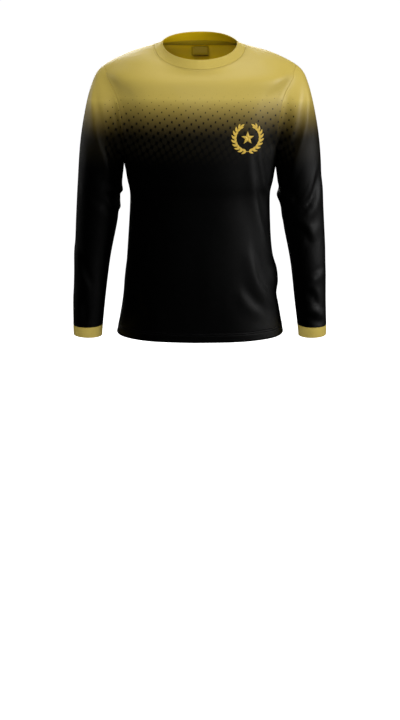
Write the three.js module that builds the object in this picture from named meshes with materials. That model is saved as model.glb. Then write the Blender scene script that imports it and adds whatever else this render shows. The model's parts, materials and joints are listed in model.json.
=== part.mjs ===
// Long-sleeved crew-neck cheer shirt, modelled as it hangs on a wearer.
//
// Millimetres. +X is the wearer's left, -Y the front, +Z up. The origin lies between the two high
// points of the shoulders, at the foot of the neck.
//
// The garment is one skin while it is being shaped: a coarse cage of four-sided cells, drawn through
// the sections below, is subdivided once. The skin is then cut along its seams into panels, and each
// panel becomes a closed shell of its own cloth. Seams, tapes, labels and stitches are thin bands laid
// along the same seam lines, inside or outside the shells.

import * as THREE from "three";

// ---- Driving dimensions -------------------------------------------------------------------------

const CLOTH = 1.2; // knit body cloth
const DOUBLED = 2.4; // folded double: neckband and cuffs
const SEAM_GAP = 0.5; // between the edges of two panels
const LAY_GAP = 0.6; // between a shell and what lies on it
const BODY_LENGTH = 694; // shoulder line to hem at the side
const HEM_DROP_BACK = 20; // the tail is this much longer than the front
const HEM_HALF_WIDTH = 204;
const HEM_HALF_DEPTH = 120;
const WAIST_HEIGHT = -372; // where the sides draw in
const WAIST_HALF_WIDTH = 166;
const WAIST_HALF_DEPTH = 109;
const BELLY = 3; // the front stands this much further out at the waist than the mean, the back less
const CHEST_HALF_DEPTH = 122;
const UNDERARM = { x: 178, z: -278 };
const SHOULDER_POINT = { x: 222, z: -58 };
const ARMHOLE_HALF_DEPTH = 66;
const ARMHOLE_SCOOP = 20; // how far the armhole's front and back edges run in towards the chest
const NECK_SEAM = { side: 105, front: 92, back: 76, sideZ: -15, frontZ: -64, backZ: -6 };
const NECK_OPENING = { side: 86, front: 80, back: 65, sideZ: -8, frontZ: -43, backZ: 14 };
const SHOULDER_RISE = 6; // bow of the shoulder line above a straight one
const NECK_FALL = 1; // how the neck's rings drop from side to middle: 1 straight, 2 rounded
const SHOULDER_FALL = 1.5;
const WRIST = { outer: 307, inner: 236, z: -670, halfDepth: 40, forward: 30 };
const CUFF_LENGTH = 24;
const CUFF_TAPER = 3; // how much narrower each side is at the cuff's end
const ELBOW = { outer: 297, inner: 199, z: -430, halfDepth: 55, forward: 4 };
const ALLOWANCE = 7; // width of an overlocked seam allowance
const ALLOWANCE_THICK = 1.2;
const UNDERARM_CLEAR = 26; // the sleeve's seam band starts this far below the crossing of the seams
const TAPE_WIDTH = 12; // neck tape
const THREAD_WIDTH = 1.2;
const THREAD_THICK = 0.5;
const HEM_STITCHES = [18, 23]; // heights of the two needle lines above the hem's edge
const TOP_STITCH = 3; // from a seam to the stitches beside it
const SIZE_LABEL = { width: 40, length: 22 };
const CARE_LABEL = { width: 34, length: 44, height: 110 };
const LABEL_THICK = 0.6;
const EMBLEM = { x: 108, z: -214, radius: 31, band: 7, leaf: 3.4, leaves: 9, gapAngle: 0.42 };
const STAR = { outer: 15, inner: 6.2, points: 5 };
const FILM = 0.4; // heat-pressed emblem film
const FILM_GAP = 1; // between the chest's flat facets and the film, which spans several of them

const COLUMNS = 16; // around the body, column 0 on the wearer's left side, column 4 at the front
const RING = 12; // around a sleeve
const SECTION_POWER = 2.35; // roundness of a body section, 2 being an ellipse

// ---- Sections of the cage -----------------------------------------------------------------------

const V = (x, y, z) => new THREE.Vector3(x, y, z);
const mix = (a, b, t) => a + (b - a) * t;
const quarter = COLUMNS / 4;

/**
 * Point of a body section: a superellipse with its own depth at front and back. Its height runs from
 * the side's to the middle's with the sine to the power of fall, 1 being a tilted flat ring.
 */
function bodyPoint(angle, halfWidth, front, back, sideZ, frontZ, backZ, power = 2, fall = 2) {
  const c = Math.cos(angle);
  const s = Math.sin(angle);
  const depth = s > 0 ? front : back;
  const midZ = s > 0 ? frontZ : backZ;
  const x = Math.sign(c) * Math.abs(c) ** (2 / power) * halfWidth;
  const y = -Math.sign(s) * Math.abs(s) ** (2 / power) * depth;
  return V(x, y, mix(sideZ, midZ, Math.abs(s) ** fall));
}

/** Front and back centre lines of the rows from the underarm up to the row inside the neck seam. */
const chestRows = [0.02, 0.27, 0.5, 0.7, 0.85, 0.93];
const chestBulge = [0, 3, 2, -5, -12, -18];
const backRows = [0.03, 0.26, 0.48, 0.68, 0.84, 0.93];
const backBulge = [-11, -6, -5, -11, -24, -34];

/** The sections below the underarm, hem first: how far they lie from hem to waist, or on from it. */
const waistToUnderarm = UNDERARM.z - WAIST_HEIGHT;
const hemToWaist = WAIST_HEIGHT + BODY_LENGTH;
const hemTo = (up, narrowing, drop) => ({
  z: -BODY_LENGTH + hemToWaist * up,
  halfWidth: mix(HEM_HALF_WIDTH, WAIST_HALF_WIDTH, narrowing),
  front: mix(HEM_HALF_DEPTH, WAIST_HALF_DEPTH + BELLY, up),
  back: mix(HEM_HALF_DEPTH, WAIST_HALF_DEPTH - BELLY, up),
  drop: HEM_DROP_BACK * drop,
});
const aboveWaist = 0.5;
const lowerSections = [
  hemTo(0, 0, 1),
  hemTo(0.3, 0.46, 0.7),
  hemTo(0.64, 0.78, 0.3),
  hemTo(1, 1, 0),
  {
    z: WAIST_HEIGHT + waistToUnderarm * aboveWaist,
    halfWidth: mix(WAIST_HALF_WIDTH, UNDERARM.x, 0.5),
    front: mix(WAIST_HALF_DEPTH + BELLY, CHEST_HALF_DEPTH, 0.5),
    back: mix(WAIST_HALF_DEPTH - BELLY, CHEST_HALF_DEPTH + backBulge[0], 0.5),
    drop: 0,
  },
];

/** Point of the armhole's edge, by its angle from the shoulder point round by the front. */
function armholePoint(angle) {
  const c = Math.cos(angle);
  const s = Math.sin(angle);
  const x = mix(UNDERARM.x, SHOULDER_POINT.x, (1 + c) / 2) - ARMHOLE_SCOOP * s * s;
  return V(x, -ARMHOLE_HALF_DEPTH * s, mix(UNDERARM.z, SHOULDER_POINT.z, (1 + c) / 2));
}

/** Row of the cage as COLUMNS points, mirrored left to right from columns -4 to 4. */
function mirroredRow(pointOfColumn) {
  const row = [];
  for (let column = 0; column < COLUMNS; column++) {
    const onRight = column > quarter && column < 3 * quarter;
    const source = onRight ? 2 * quarter - column : column;
    const point = pointOfColumn(source > 2 * quarter ? source - COLUMNS : source);
    row.push(point && onRight ? V(-point.x, point.y, point.z) : point);
  }
  return row;
}

/** Point between an edge point and the centre line, on the superellipse through both. */
function chestPoint(edge, centreY, centreZ, share) {
  const depth = Math.abs(centreY);
  const edgeY = Math.min(Math.abs(edge.y), depth * 0.999);
  const halfWidth = edge.x / (1 - (edgeY / depth) ** SECTION_POWER) ** (1 / SECTION_POWER);
  const edgeAngle = Math.asin((edgeY / depth) ** (SECTION_POWER / 2));
  const angle = mix(edgeAngle, Math.PI / 2, share);
  const x = halfWidth * Math.cos(angle) ** (2 / SECTION_POWER);
  const y = Math.sign(centreY) * depth * Math.sin(angle) ** (2 / SECTION_POWER);
  const side = Math.abs(x / edge.x);
  return V(x, y, mix(centreZ, edge.z, side ** 2.2));
}

function bodyRows() {
  const rows = lowerSections.map(({ z, halfWidth, front, back, drop }) => mirroredRow((column) =>
    bodyPoint((column / COLUMNS) * 2 * Math.PI, halfWidth, front, back, z, z, z - drop, SECTION_POWER)));
  // Five rows meet the armhole, the first at the underarm and the last at the shoulder point.
  for (let step = 0; step < 5; step++) {
    const edgeAngle = ((5 - step) / RING) * 2 * Math.PI;
    rows.push(mirroredRow((column) => {
      if (column === 0) {
        if (step === 0) return V(UNDERARM.x, 0, UNDERARM.z);
        if (step === 4) return V(SHOULDER_POINT.x, 0, SHOULDER_POINT.z);
        return null; // the armhole is open here
      }
      const front = column > 0;
      const edge = armholePoint(front ? edgeAngle : -edgeAngle);
      const topZ = front ? NECK_SEAM.frontZ : NECK_SEAM.backZ;
      const centreZ = mix(UNDERARM.z + 14, topZ, (front ? chestRows : backRows)[step]);
      const centreY = CHEST_HALF_DEPTH + (front ? chestBulge : backBulge)[step];
      return chestPoint(edge, front ? -centreY : centreY, centreZ, (Math.abs(column) - 1) / (quarter - 1));
    }));
  }
  // One row over the middle of the shoulders, then the neck seam.
  rows.push(mirroredRow((column) => bodyPoint(
    (column / COLUMNS) * 2 * Math.PI,
    mix(SHOULDER_POINT.x, NECK_SEAM.side, 0.5),
    mix(CHEST_HALF_DEPTH + chestBulge[5], NECK_SEAM.front, 0.45),
    mix(CHEST_HALF_DEPTH + backBulge[5], NECK_SEAM.back, 0.45),
    mix(SHOULDER_POINT.z, NECK_SEAM.sideZ, 0.5) + SHOULDER_RISE,
    mix(UNDERARM.z + 14, NECK_SEAM.frontZ, chestRows[5]),
    mix(UNDERARM.z + 14, NECK_SEAM.backZ, backRows[5]), 2, SHOULDER_FALL)));
  for (const neck of [NECK_SEAM, NECK_OPENING]) {
    rows.push(mirroredRow((column) => bodyPoint((column / COLUMNS) * 2 * Math.PI,
      neck.side, neck.front, neck.back, neck.sideZ, neck.frontZ, neck.backZ, 2, NECK_FALL)));
  }
  return rows;
}

/** Rings of the wearer's left sleeve below the armhole: outer and inner points, half depth, forward. */
function sleeveRings() {
  const elbow = ELBOW;
  const under = UNDERARM;
  const cap = SHOULDER_POINT;
  const wrist = WRIST;
  const rings = [];
  for (const [share, spread] of [[0.09, 0.34], [0.24, 0.57], [0.43, 0.75], [0.67, 0.88], [1, 1]]) {
    const innerShare = share ** 1.35; // the rings fan out from the underarm
    rings.push({
      outer: V(mix(cap.x, elbow.outer, spread), 0, mix(cap.z, elbow.z, share)),
      inner: V(mix(under.x, elbow.inner, innerShare), 0, mix(under.z, elbow.z, innerShare)),
      halfDepth: mix(ARMHOLE_HALF_DEPTH, elbow.halfDepth, share),
      forward: elbow.forward * share * share,
    });
  }
  for (const share of [0.34, 0.68, 1]) {
    const z = mix(elbow.z, wrist.z, share);
    rings.push({
      outer: V(mix(elbow.outer, wrist.outer, share ** 0.6), 0, z),
      inner: V(mix(elbow.inner, wrist.inner, share ** 0.75), 0, z),
      halfDepth: mix(elbow.halfDepth, wrist.halfDepth, share),
      forward: mix(elbow.forward, wrist.forward, share ** 1.2),
    });
  }
  rings.push({
    outer: V(wrist.outer + 1 - CUFF_TAPER / 2, 0, wrist.z - CUFF_LENGTH),
    inner: V(wrist.inner + 1 + CUFF_TAPER / 2, 0, wrist.z - CUFF_LENGTH - 3),
    halfDepth: wrist.halfDepth - CUFF_TAPER,
    forward: wrist.forward + 3,
  });
  return rings;
}

function ringPoint(ring, step) {
  const angle = (step / RING) * 2 * Math.PI;
  const point = ring.inner.clone().lerp(ring.outer, (1 + Math.cos(angle)) / 2);
  point.y -= ring.halfDepth * Math.sin(angle) + ring.forward;
  return point;
}

// ---- The cage and its subdivision ---------------------------------------------------------------

/** The whole garment as points and four-sided cells, each cell tagged with its panel's name. */
function garmentCage() {
  const points = [];
  const cells = [];
  const add = (point) => points.push(point) - 1;
  const rows = bodyRows().map((row) => row.map((point) => (point ? add(point) : null)));
  const last = rows.length - 1;
  for (let row = 0; row < last; row++) {
    for (let column = 0; column < COLUMNS; column++) {
      const next = (column + 1) % COLUMNS;
      const corners = [rows[row][column], rows[row][next], rows[row + 1][next], rows[row + 1][column]];
      const besideArm = column % (2 * quarter) === 0 || next % (2 * quarter) === 0;
      const besideHole = besideArm && row >= armholeRow && row < armholeRow + 4;
      if (besideHole) continue;
      const panel = row === last - 1 ? "neckband" : column < 2 * quarter ? "front_panel" : "back_panel";
      cells.push({ corners: corners.reverse(), panel });
    }
  }
  const rim = armholeRim(rows);
  for (const side of ["left", "right"]) {
    let ring = rim[side];
    const rings = sleeveRings();
    rings.forEach((section, index) => {
      const next = [];
      for (let step = 0; step < RING; step++) {
        const point = ringPoint(section, step);
        if (side === "right") point.x = -point.x;
        next.push(add(point));
      }
      for (let step = 0; step < RING; step++) {
        const after = (step + 1) % RING;
        const corners = [ring[step], ring[after], next[after], next[step]];
        if (side === "right") corners.reverse();
        cells.push({ corners, panel: `${side}_${index === rings.length - 1 ? "cuff" : "sleeve"}` });
      }
      ring = next;
    });
  }
  return { points, cells, rows };
}

const armholeRow = 5; // the row that passes under the arms

/** The twelve cage points round each armhole, from the shoulder point by the front. */
function armholeRim(rows) {
  const rim = { left: [], right: [] };
  const path = [[4, 0], [4, 1], [3, 1], [2, 1], [1, 1], [0, 1], [0, 0], [0, -1], [1, -1], [2, -1], [3, -1], [4, -1]];
  for (const [up, across] of path) {
    rim.left.push(rows[armholeRow + up][(COLUMNS + across) % COLUMNS]);
    rim.right.push(rows[armholeRow + up][2 * quarter - across]);
  }
  return rim;
}

const edgeKey = (a, b) => (a < b ? `${a}_${b}` : `${b}_${a}`);

/** One step of Catmull-Clark subdivision. The first points of the result are the cage's own. */
function subdivide({ points, cells }) {
  const edges = new Map();
  const cellCentres = cells.map(({ corners }) =>
    corners.reduce((sum, corner) => sum.add(points[corner]), V(0, 0, 0)).divideScalar(4));
  cells.forEach(({ corners }, index) => corners.forEach((corner, at) => {
    const next = corners[(at + 1) % 4];
    const key = edgeKey(corner, next);
    if (!edges.has(key)) edges.set(key, { ends: [corner, next], cells: [] });
    edges.get(key).cells.push(index);
  }));
  const around = points.map(() => ({ edges: [], cells: [] }));
  for (const edge of edges.values()) edge.ends.forEach((end) => around[end].edges.push(edge));
  cells.forEach(({ corners }, index) => corners.forEach((corner) => around[corner].cells.push(index)));

  const moved = points.map((point, index) => {
    const rimEdges = around[index].edges.filter((edge) => edge.cells.length === 1);
    if (rimEdges.length) {
      const sum = point.clone().multiplyScalar(6);
      rimEdges.forEach(({ ends }) => sum.add(points[ends[0] === index ? ends[1] : ends[0]]));
      return sum.divideScalar(8);
    }
    const count = around[index].edges.length;
    const centres = V(0, 0, 0);
    around[index].cells.forEach((cell) => centres.addScaledVector(cellCentres[cell], 1 / count));
    const middles = V(0, 0, 0);
    around[index].edges.forEach(({ ends }) =>
      middles.addScaledVector(points[ends[0]].clone().add(points[ends[1]]), 0.5 / count));
    return centres.addScaledVector(middles, 2).addScaledVector(point, count - 3).divideScalar(count);
  });
  const finer = moved;
  for (const edge of edges.values()) {
    const middle = points[edge.ends[0]].clone().add(points[edge.ends[1]]);
    if (edge.cells.length === 2) {
      edge.cells.forEach((cell) => middle.add(cellCentres[cell]));
      middle.divideScalar(4);
    } else {
      middle.divideScalar(2);
    }
    edge.middle = finer.push(middle) - 1;
  }
  const finerCells = [];
  cells.forEach(({ corners, panel }, index) => {
    const centre = finer.push(cellCentres[index]) - 1;
    corners.forEach((corner, at) => {
      const after = edges.get(edgeKey(corner, corners[(at + 1) % 4])).middle;
      const before = edges.get(edgeKey(corner, corners[(at + 3) % 4])).middle;
      finerCells.push({ corners: [corner, after, centre, before], panel });
    });
  });
  const middleOf = (a, b) => edges.get(edgeKey(a, b)).middle;
  return { points: finer, cells: finerCells, middleOf };
}

/** Moves the cage until its subdivided points lie on the sections it was drawn through. */
function fittedSkin() {
  const cage = garmentCage();
  const targets = cage.points.map((point) => point.clone());
  for (let round = 0; round < 6; round++) {
    const { points } = subdivide(cage);
    cage.points.forEach((point, index) => point.add(targets[index]).sub(points[index]));
  }
  return { ...subdivide(cage), rows: cage.rows };
}

const skin = fittedSkin();

const cellsAt = skin.points.map(() => []);
for (const cell of skin.cells) cell.corners.forEach((corner) => cellsAt[corner].push(cell));

/** Outward direction of the skin at each of its points. */
const outward = skin.points.map(() => V(0, 0, 0));
for (const { corners } of skin.cells) {
  const [a, b, c, d] = corners.map((corner) => skin.points[corner]);
  const normal = c.clone().sub(a).cross(d.clone().sub(b));
  corners.forEach((corner) => outward[corner].add(normal));
}
outward.forEach((normal) => normal.normalize());

/**
 * Direction, along the skin, from a seam point into the cells beside it that a test picks: along the
 * cell edges that run into them, or the diagonal of a single cell.
 */
function into(point, picks) {
  const cells = cellsAt[point].filter(picks);
  const uses = new Map();
  for (const { corners } of cells) {
    const at = corners.indexOf(point);
    for (const step of [1, 3]) {
      const end = corners[(at + step) % 4];
      uses.set(end, (uses.get(end) ?? 0) + 1);
    }
  }
  const inner = [...uses].filter(([, count]) => count === 2).map(([end]) => end);
  const ends = inner.length ? inner : cells.map(({ corners }) => corners[(corners.indexOf(point) + 2) % 4]);
  const direction = V(0, 0, 0);
  for (const end of ends) direction.add(skin.points[end].clone().sub(skin.points[point]).normalize());
  return direction.normalize();
}

/** Outward direction at a seam point of the cells beside it that a test picks. */
function outwardOf(point, picks) {
  const normal = V(0, 0, 0);
  for (const { corners } of cellsAt[point].filter(picks)) {
    const [a, b, c, d] = corners.map((corner) => skin.points[corner]);
    normal.add(c.clone().sub(a).cross(d.clone().sub(b)));
  }
  return normal.normalize();
}

/** Where a panel's edge point moves so that it stands clear of the panels sewn to it there. */
function drawnIn(point, name) {
  const own = into(point, ({ panel }) => panel === name);
  const apart = own.sub(into(point, ({ panel }) => panel !== name)).normalize();
  return skin.points[point].clone().addScaledVector(apart, SEAM_GAP / 2);
}

/** Outward direction midway between a panel and what is sewn to it, so that both rims are parallel. */
function seamOutward(point, name) {
  const own = outwardOf(point, ({ panel }) => panel === name);
  return own.add(outwardOf(point, ({ panel }) => panel !== name)).normalize();
}

// ---- Solids -------------------------------------------------------------------------------------

const cloth = {
  gold: new THREE.MeshStandardMaterial({ color: 0xc9b250, roughness: 0.8, metalness: 0 }),
  black: new THREE.MeshStandardMaterial({ color: 0x101010, roughness: 0.8, metalness: 0 }),
  thread: new THREE.MeshStandardMaterial({ color: 0x8f7c34, roughness: 0.6, metalness: 0 }),
  label: new THREE.MeshStandardMaterial({ color: 0xa2893b, roughness: 0.6, metalness: 0 }),
  film: new THREE.MeshStandardMaterial({ color: 0xd2a92e, roughness: 0.4, metalness: 0 }),
};

const shirt = new THREE.Group();

function addSolid(name, positions, triangles, material) {
  const geometry = new THREE.BufferGeometry();
  geometry.setAttribute("position", new THREE.Float32BufferAttribute(positions.flatMap((p) => [p.x, p.y, p.z]), 3));
  geometry.setIndex(triangles.flat());
  geometry.computeVertexNormals();
  const mesh = new THREE.Mesh(geometry, material);
  mesh.name = name;
  shirt.add(mesh);
}

/** Two triangles of a cell, split along its shorter diagonal. */
function splitCell([a, b, c, d], positions) {
  const shorter = positions[a].distanceTo(positions[c]) <= positions[b].distanceTo(positions[d]);
  return shorter ? [[a, b, c], [a, c, d]] : [[a, b, d], [b, c, d]];
}

/** A panel of the skin as a closed shell: outer and inner faces, and a rim along its edges. */
function addPanel(name, thickness, material) {
  const cells = skin.cells.filter(({ panel }) => panel === name);
  const used = [...new Set(cells.flatMap(({ corners }) => corners))];
  const count = new Map();
  for (const { corners } of cells) {
    corners.forEach((corner, at) => {
      const key = edgeKey(corner, corners[(at + 1) % 4]);
      count.set(key, (count.get(key) ?? 0) + 1);
    });
  }
  const onRim = new Set([...count].filter(([, uses]) => uses === 1).flatMap(([key]) => key.split("_").map(Number)));
  const local = new Map();
  const outer = used.map((index, at) => {
    local.set(index, at);
    return onRim.has(index) ? drawnIn(index, name) : skin.points[index].clone();
  });
  const inner = used.map((index, at) =>
    outer[at].clone().addScaledVector(onRim.has(index) ? seamOutward(index, name) : outward[index], -thickness));
  const positions = [...outer, ...inner];
  const triangles = [];
  for (const { corners } of cells) {
    const here = corners.map((corner) => local.get(corner));
    for (const [a, b, c] of splitCell(here, positions)) {
      triangles.push([a, b, c], [a + used.length, c + used.length, b + used.length]);
    }
    here.forEach((from, at) => {
      const to = here[(at + 1) % 4];
      const ends = [corners[at], corners[(at + 1) % 4]];
      if (count.get(edgeKey(...ends)) > 1) return;
      // Both panels of a seam split its rim the same way, so that their edges stay parallel.
      const [fromIn, toIn] = [from + used.length, to + used.length];
      if (ends[0] < ends[1]) triangles.push([from, fromIn, to], [to, fromIn, toIn]);
      else triangles.push([from, fromIn, toIn], [from, toIn, to]);
    });
  }
  addSolid(name, positions, triangles, material);
}

/** Shortens an open seam line at both ends by whole lengths, keeping each station's directions. */
function trimmed(stations, startCut, endCut) {
  const cutStart = (list, cut) => {
    let left = cut;
    const rest = [...list];
    while (rest.length > 1) {
      const step = rest[0].at.distanceTo(rest[1].at);
      if (step > left) {
        const share = left / step;
        rest[0] = {
          at: rest[0].at.clone().lerp(rest[1].at, share),
          side: rest[0].side.clone().lerp(rest[1].side, share).normalize(),
          out: rest[0].out.clone().lerp(rest[1].out, share).normalize(),
        };
        return rest;
      }
      left -= step;
      rest.shift();
    }
    return rest;
  };
  return cutStart(cutStart(stations, startCut).reverse(), endCut).reverse();
}

const stationsBeside = (line, picksAt) => line.map((index) => {
  const picks = picksAt(skin.points[index]);
  return { at: skin.points[index], side: into(index, picks), out: outwardOf(index, picks) };
});

const stationsOf = (line, panels) => stationsBeside(line, () => ({ panel }) => panels.includes(panel));

/** Stations of a seam inside one panel, with the band on the side towards the back. */
const stationsBehind = (line, name) => stationsBeside(line, (point) => ({ corners, panel }) =>
  panel === name && corners.reduce((sum, corner) => sum + skin.points[corner].y, 0) / 4 > point.y);

/**
 * A band along a seam line, between two distances to one side of it, lifted off the skin: outside
 * when lift is positive, inside when it is negative. Its free edge may hang further off by slack.
 */
function addBand(name, stations, { from, to, lift, thick, slack = 0, closed = false }, material) {
  const positions = [];
  const skyward = Math.sign(lift);
  const [near, far] = [lift, lift + skyward * thick];
  const [nearFree, farFree] = [near + skyward * slack, far + skyward * slack];
  for (const { at, side, out } of stations) {
    for (const [across, height] of [[from, near], [to, nearFree], [to, farFree], [from, far]]) {
      positions.push(at.clone().addScaledVector(side, across).addScaledVector(out, height));
    }
  }
  const triangles = [];
  const last = stations.length - (closed ? 0 : 1);
  for (let station = 0; station < last; station++) {
    const here = 4 * station;
    const next = 4 * ((station + 1) % stations.length);
    for (let corner = 0; corner < 4; corner++) {
      const after = (corner + 1) % 4;
      triangles.push([here + corner, next + corner, here + after], [here + after, next + corner, next + after]);
    }
  }
  if (!closed) {
    const end = 4 * (stations.length - 1);
    triangles.push([0, 1, 2], [0, 2, 3], [end, end + 2, end + 1], [end, end + 3, end + 2]);
  }
  addSolid(name, positions, facingOut(positions, triangles), material);
}

/** Turns every triangle round if the solid they enclose would have its faces pointing in. */
function facingOut(positions, triangles) {
  let volume = 0;
  for (const [a, b, c] of triangles) {
    volume += positions[a].dot(positions[b].clone().cross(positions[c]));
  }
  return volume > 0 ? triangles : triangles.map(([a, b, c]) => [a, c, b]);
}

// ---- Seam lines ---------------------------------------------------------------------------------

/** Follows cage points along the subdivided skin, putting in the point between each two. */
function seamLine(cagePoints, closed = false) {
  const line = [];
  cagePoints.forEach((point, at) => {
    line.push(point);
    const next = cagePoints[at + 1] ?? (closed ? cagePoints[0] : null);
    if (next !== null) line.push(skin.middleOf(point, next));
  });
  return line;
}

const rows = skin.rows;
const lastRow = rows.length - 1;
const neckRow = lastRow - 1;
const shoulderRow = armholeRow + 4;
const sideColumn = { left: 0, right: 2 * quarter };
const rim = armholeRim(rows);
const torso = ["front_panel", "back_panel"];

/** Cage points of a sleeve ring, counted from the armhole, which is ring 0. */
function sleeveRingPoints(side, ring) {
  if (ring === 0) return rim[side];
  const perSleeve = RING * sleeveRings().length;
  const first = Math.max(...rows.flat()) + 1 + (side === "right" ? perSleeve : 0) + RING * (ring - 1);
  return Array.from({ length: RING }, (_, step) => first + step);
}

const cuffRing = sleeveRings().length - 1;
const underStep = RING / 2; // the ring's step that faces the body

// ---- Panels -------------------------------------------------------------------------------------

addPanel("front_panel", CLOTH, cloth.gold);
addPanel("back_panel", CLOTH, cloth.gold);
addPanel("neckband", DOUBLED, cloth.gold);
for (const side of ["left", "right"]) {
  addPanel(`${side}_sleeve`, CLOTH, cloth.black);
  addPanel(`${side}_cuff`, DOUBLED, cloth.gold);
}

// ---- Seams, tapes and stitches ------------------------------------------------------------------

const insideCloth = -(CLOTH + LAY_GAP);
const insideDoubled = -(DOUBLED + LAY_GAP);
const allowance = { from: SEAM_GAP, to: SEAM_GAP + ALLOWANCE, lift: insideCloth, thick: ALLOWANCE_THICK };
const deepAllowance = { ...allowance, lift: insideCloth - LAY_GAP }; // where the skin curves sharply
const stitchRow = (distance) => ({
  from: distance - THREAD_WIDTH / 2,
  to: distance + THREAD_WIDTH / 2,
  lift: LAY_GAP,
  thick: THREAD_THICK,
  closed: true,
});

for (const side of ["left", "right"]) {
  const column = sideColumn[side];
  const sideSeam = seamLine(rows.slice(0, armholeRow + 1).map((row) => row[column]));
  addBand(`${side}_side_seam`, trimmed(stationsOf(sideSeam, ["back_panel"]), 1, 2 * SEAM_GAP + ALLOWANCE),
    allowance, cloth.black);
  const shoulderSeam = seamLine(rows.slice(shoulderRow, neckRow + 1).map((row) => row[column]));
  addBand(`${side}_shoulder_seam`,
    trimmed(stationsOf(shoulderSeam, ["back_panel"]), 2 * SEAM_GAP + ALLOWANCE, 2 * SEAM_GAP + TAPE_WIDTH),
    deepAllowance, cloth.gold);
  addBand(`${side}_armhole_seam`, stationsOf(seamLine(rim[side], true), torso),
    { ...deepAllowance, closed: true }, cloth.black);
  const cuffLine = stationsOf(seamLine(sleeveRingPoints(side, cuffRing), true), [`${side}_sleeve`]);
  addBand(`${side}_cuff_seam`, cuffLine, { ...allowance, lift: insideDoubled, closed: true }, cloth.gold);
  addBand(`${side}_cuff_stitch`, cuffLine, stitchRow(TOP_STITCH), cloth.black);
  const sleeveSeam = seamLine(Array.from({ length: cuffRing + 1 }, (_, ring) =>
    sleeveRingPoints(side, ring)[underStep]));
  const towardsBack = stationsBehind(sleeveSeam, `${side}_sleeve`);
  addBand(`${side}_sleeve_seam`, trimmed(towardsBack, UNDERARM_CLEAR, 2 * ALLOWANCE), allowance, cloth.black);
}

const neckLine = seamLine(rows[neckRow], true);
const neckStations = stationsOf(neckLine, torso);
const halfNeck = neckLine.length / 2;
const backNeck = [...neckStations.slice(halfNeck), neckStations[0]];
const frontNeck = neckStations.slice(0, halfNeck + 1);
addBand("neck_tape", trimmed(backNeck, 1, 1),
  { from: SEAM_GAP, to: SEAM_GAP + TAPE_WIDTH, lift: insideDoubled, thick: ALLOWANCE_THICK }, cloth.gold);
addBand("front_neck_seam", trimmed(frontNeck, 1, 1), { ...allowance, lift: insideDoubled }, cloth.gold);
addBand("neckband_stitch", neckStations, stitchRow(TOP_STITCH), cloth.thread);

const hemStations = stationsOf(seamLine(rows[0], true), torso);
HEM_STITCHES.forEach((height, index) =>
  addBand(`hem_stitch_${["lower", "upper"][index]}`, hemStations, stitchRow(height), cloth.thread));

// ---- Labels -------------------------------------------------------------------------------------

/** The two ends of a straight label sewn in at one station of a seam. */
const labelEnds = (station, along, width) =>
  [-0.5, 0.5].map((end) => ({ ...station, at: station.at.clone().addScaledVector(along, end * width) }));

const labelTop = SEAM_GAP + TAPE_WIDTH + 1;
const backCentre = neckStations[1.5 * halfNeck];
addBand("size_label", labelEnds(backCentre, V(1, 0, 0), SIZE_LABEL.width), {
  from: labelTop,
  to: labelTop + SIZE_LABEL.length,
  lift: insideDoubled,
  thick: LABEL_THICK,
  slack: 4,
}, cloth.label);

const leftSide = stationsOf(seamLine(rows.slice(0, armholeRow + 1).map((row) => row[0])), ["front_panel"]);
const [careFoot, careHead] = [0, CARE_LABEL.length].map((up) => trimmed(leftSide, CARE_LABEL.height + up, 0)[0]);
addBand("care_label", [careFoot, { ...careHead, side: careFoot.side, out: careFoot.out }], {
  from: 1,
  to: CARE_LABEL.width,
  lift: insideDoubled,
  thick: LABEL_THICK,
  slack: 14,
}, cloth.label);

// ---- Chest emblem -------------------------------------------------------------------------------

const chestTriangles = skin.cells
  .filter(({ panel }) => panel === "front_panel")
  .flatMap(({ corners }) => splitCell(corners, skin.points))
  .map((corners) => new THREE.Triangle(...corners.map((corner) => skin.points[corner])));

/** Depth of the chest's outer face straight behind a point of the front view. */
function chestDepth(x, z) {
  const ray = new THREE.Ray(V(x, -2 * CHEST_HALF_DEPTH, z), V(0, 1, 0));
  const hits = chestTriangles.map(({ a, b, c }) => ray.intersectTriangle(a, b, c, false, V(0, 0, 0)));
  return Math.min(...hits.filter(Boolean).map((hit) => hit.y));
}

/** A flat outline grid pressed on the chest: rows of [x, z] points make a thin closed film. */
function addFilm(name, grid, closed) {
  const width = grid[0].length;
  const positions = [];
  for (const lift of [FILM_GAP, FILM_GAP + FILM]) {
    for (const [x, z] of grid.flat()) positions.push(V(x, chestDepth(x, z) - lift, z));
  }
  const layer = positions.length / 2;
  const triangles = [];
  const quad = (a, b, c, d) => triangles.push([a, b, c], [a, c, d]);
  const last = grid.length - (closed ? 0 : 1);
  for (let row = 0; row < last; row++) {
    const here = row * width;
    const next = ((row + 1) % grid.length) * width;
    for (let at = 0; at < width - 1; at++) {
      quad(here + at, next + at, next + at + 1, here + at + 1);
      quad(layer + here + at, layer + here + at + 1, layer + next + at + 1, layer + next + at);
    }
    quad(here, layer + here, layer + next, next);
    quad(here + width - 1, next + width - 1, layer + next + width - 1, layer + here + width - 1);
  }
  if (!closed) {
    for (let at = 0; at < width - 1; at++) {
      const end = last * width;
      quad(at, at + 1, layer + at + 1, layer + at);
      quad(end + at, layer + end + at, layer + end + at + 1, end + at + 1);
    }
  }
  addSolid(name, positions, facingOut(positions, triangles), cloth.film);
}

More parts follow.
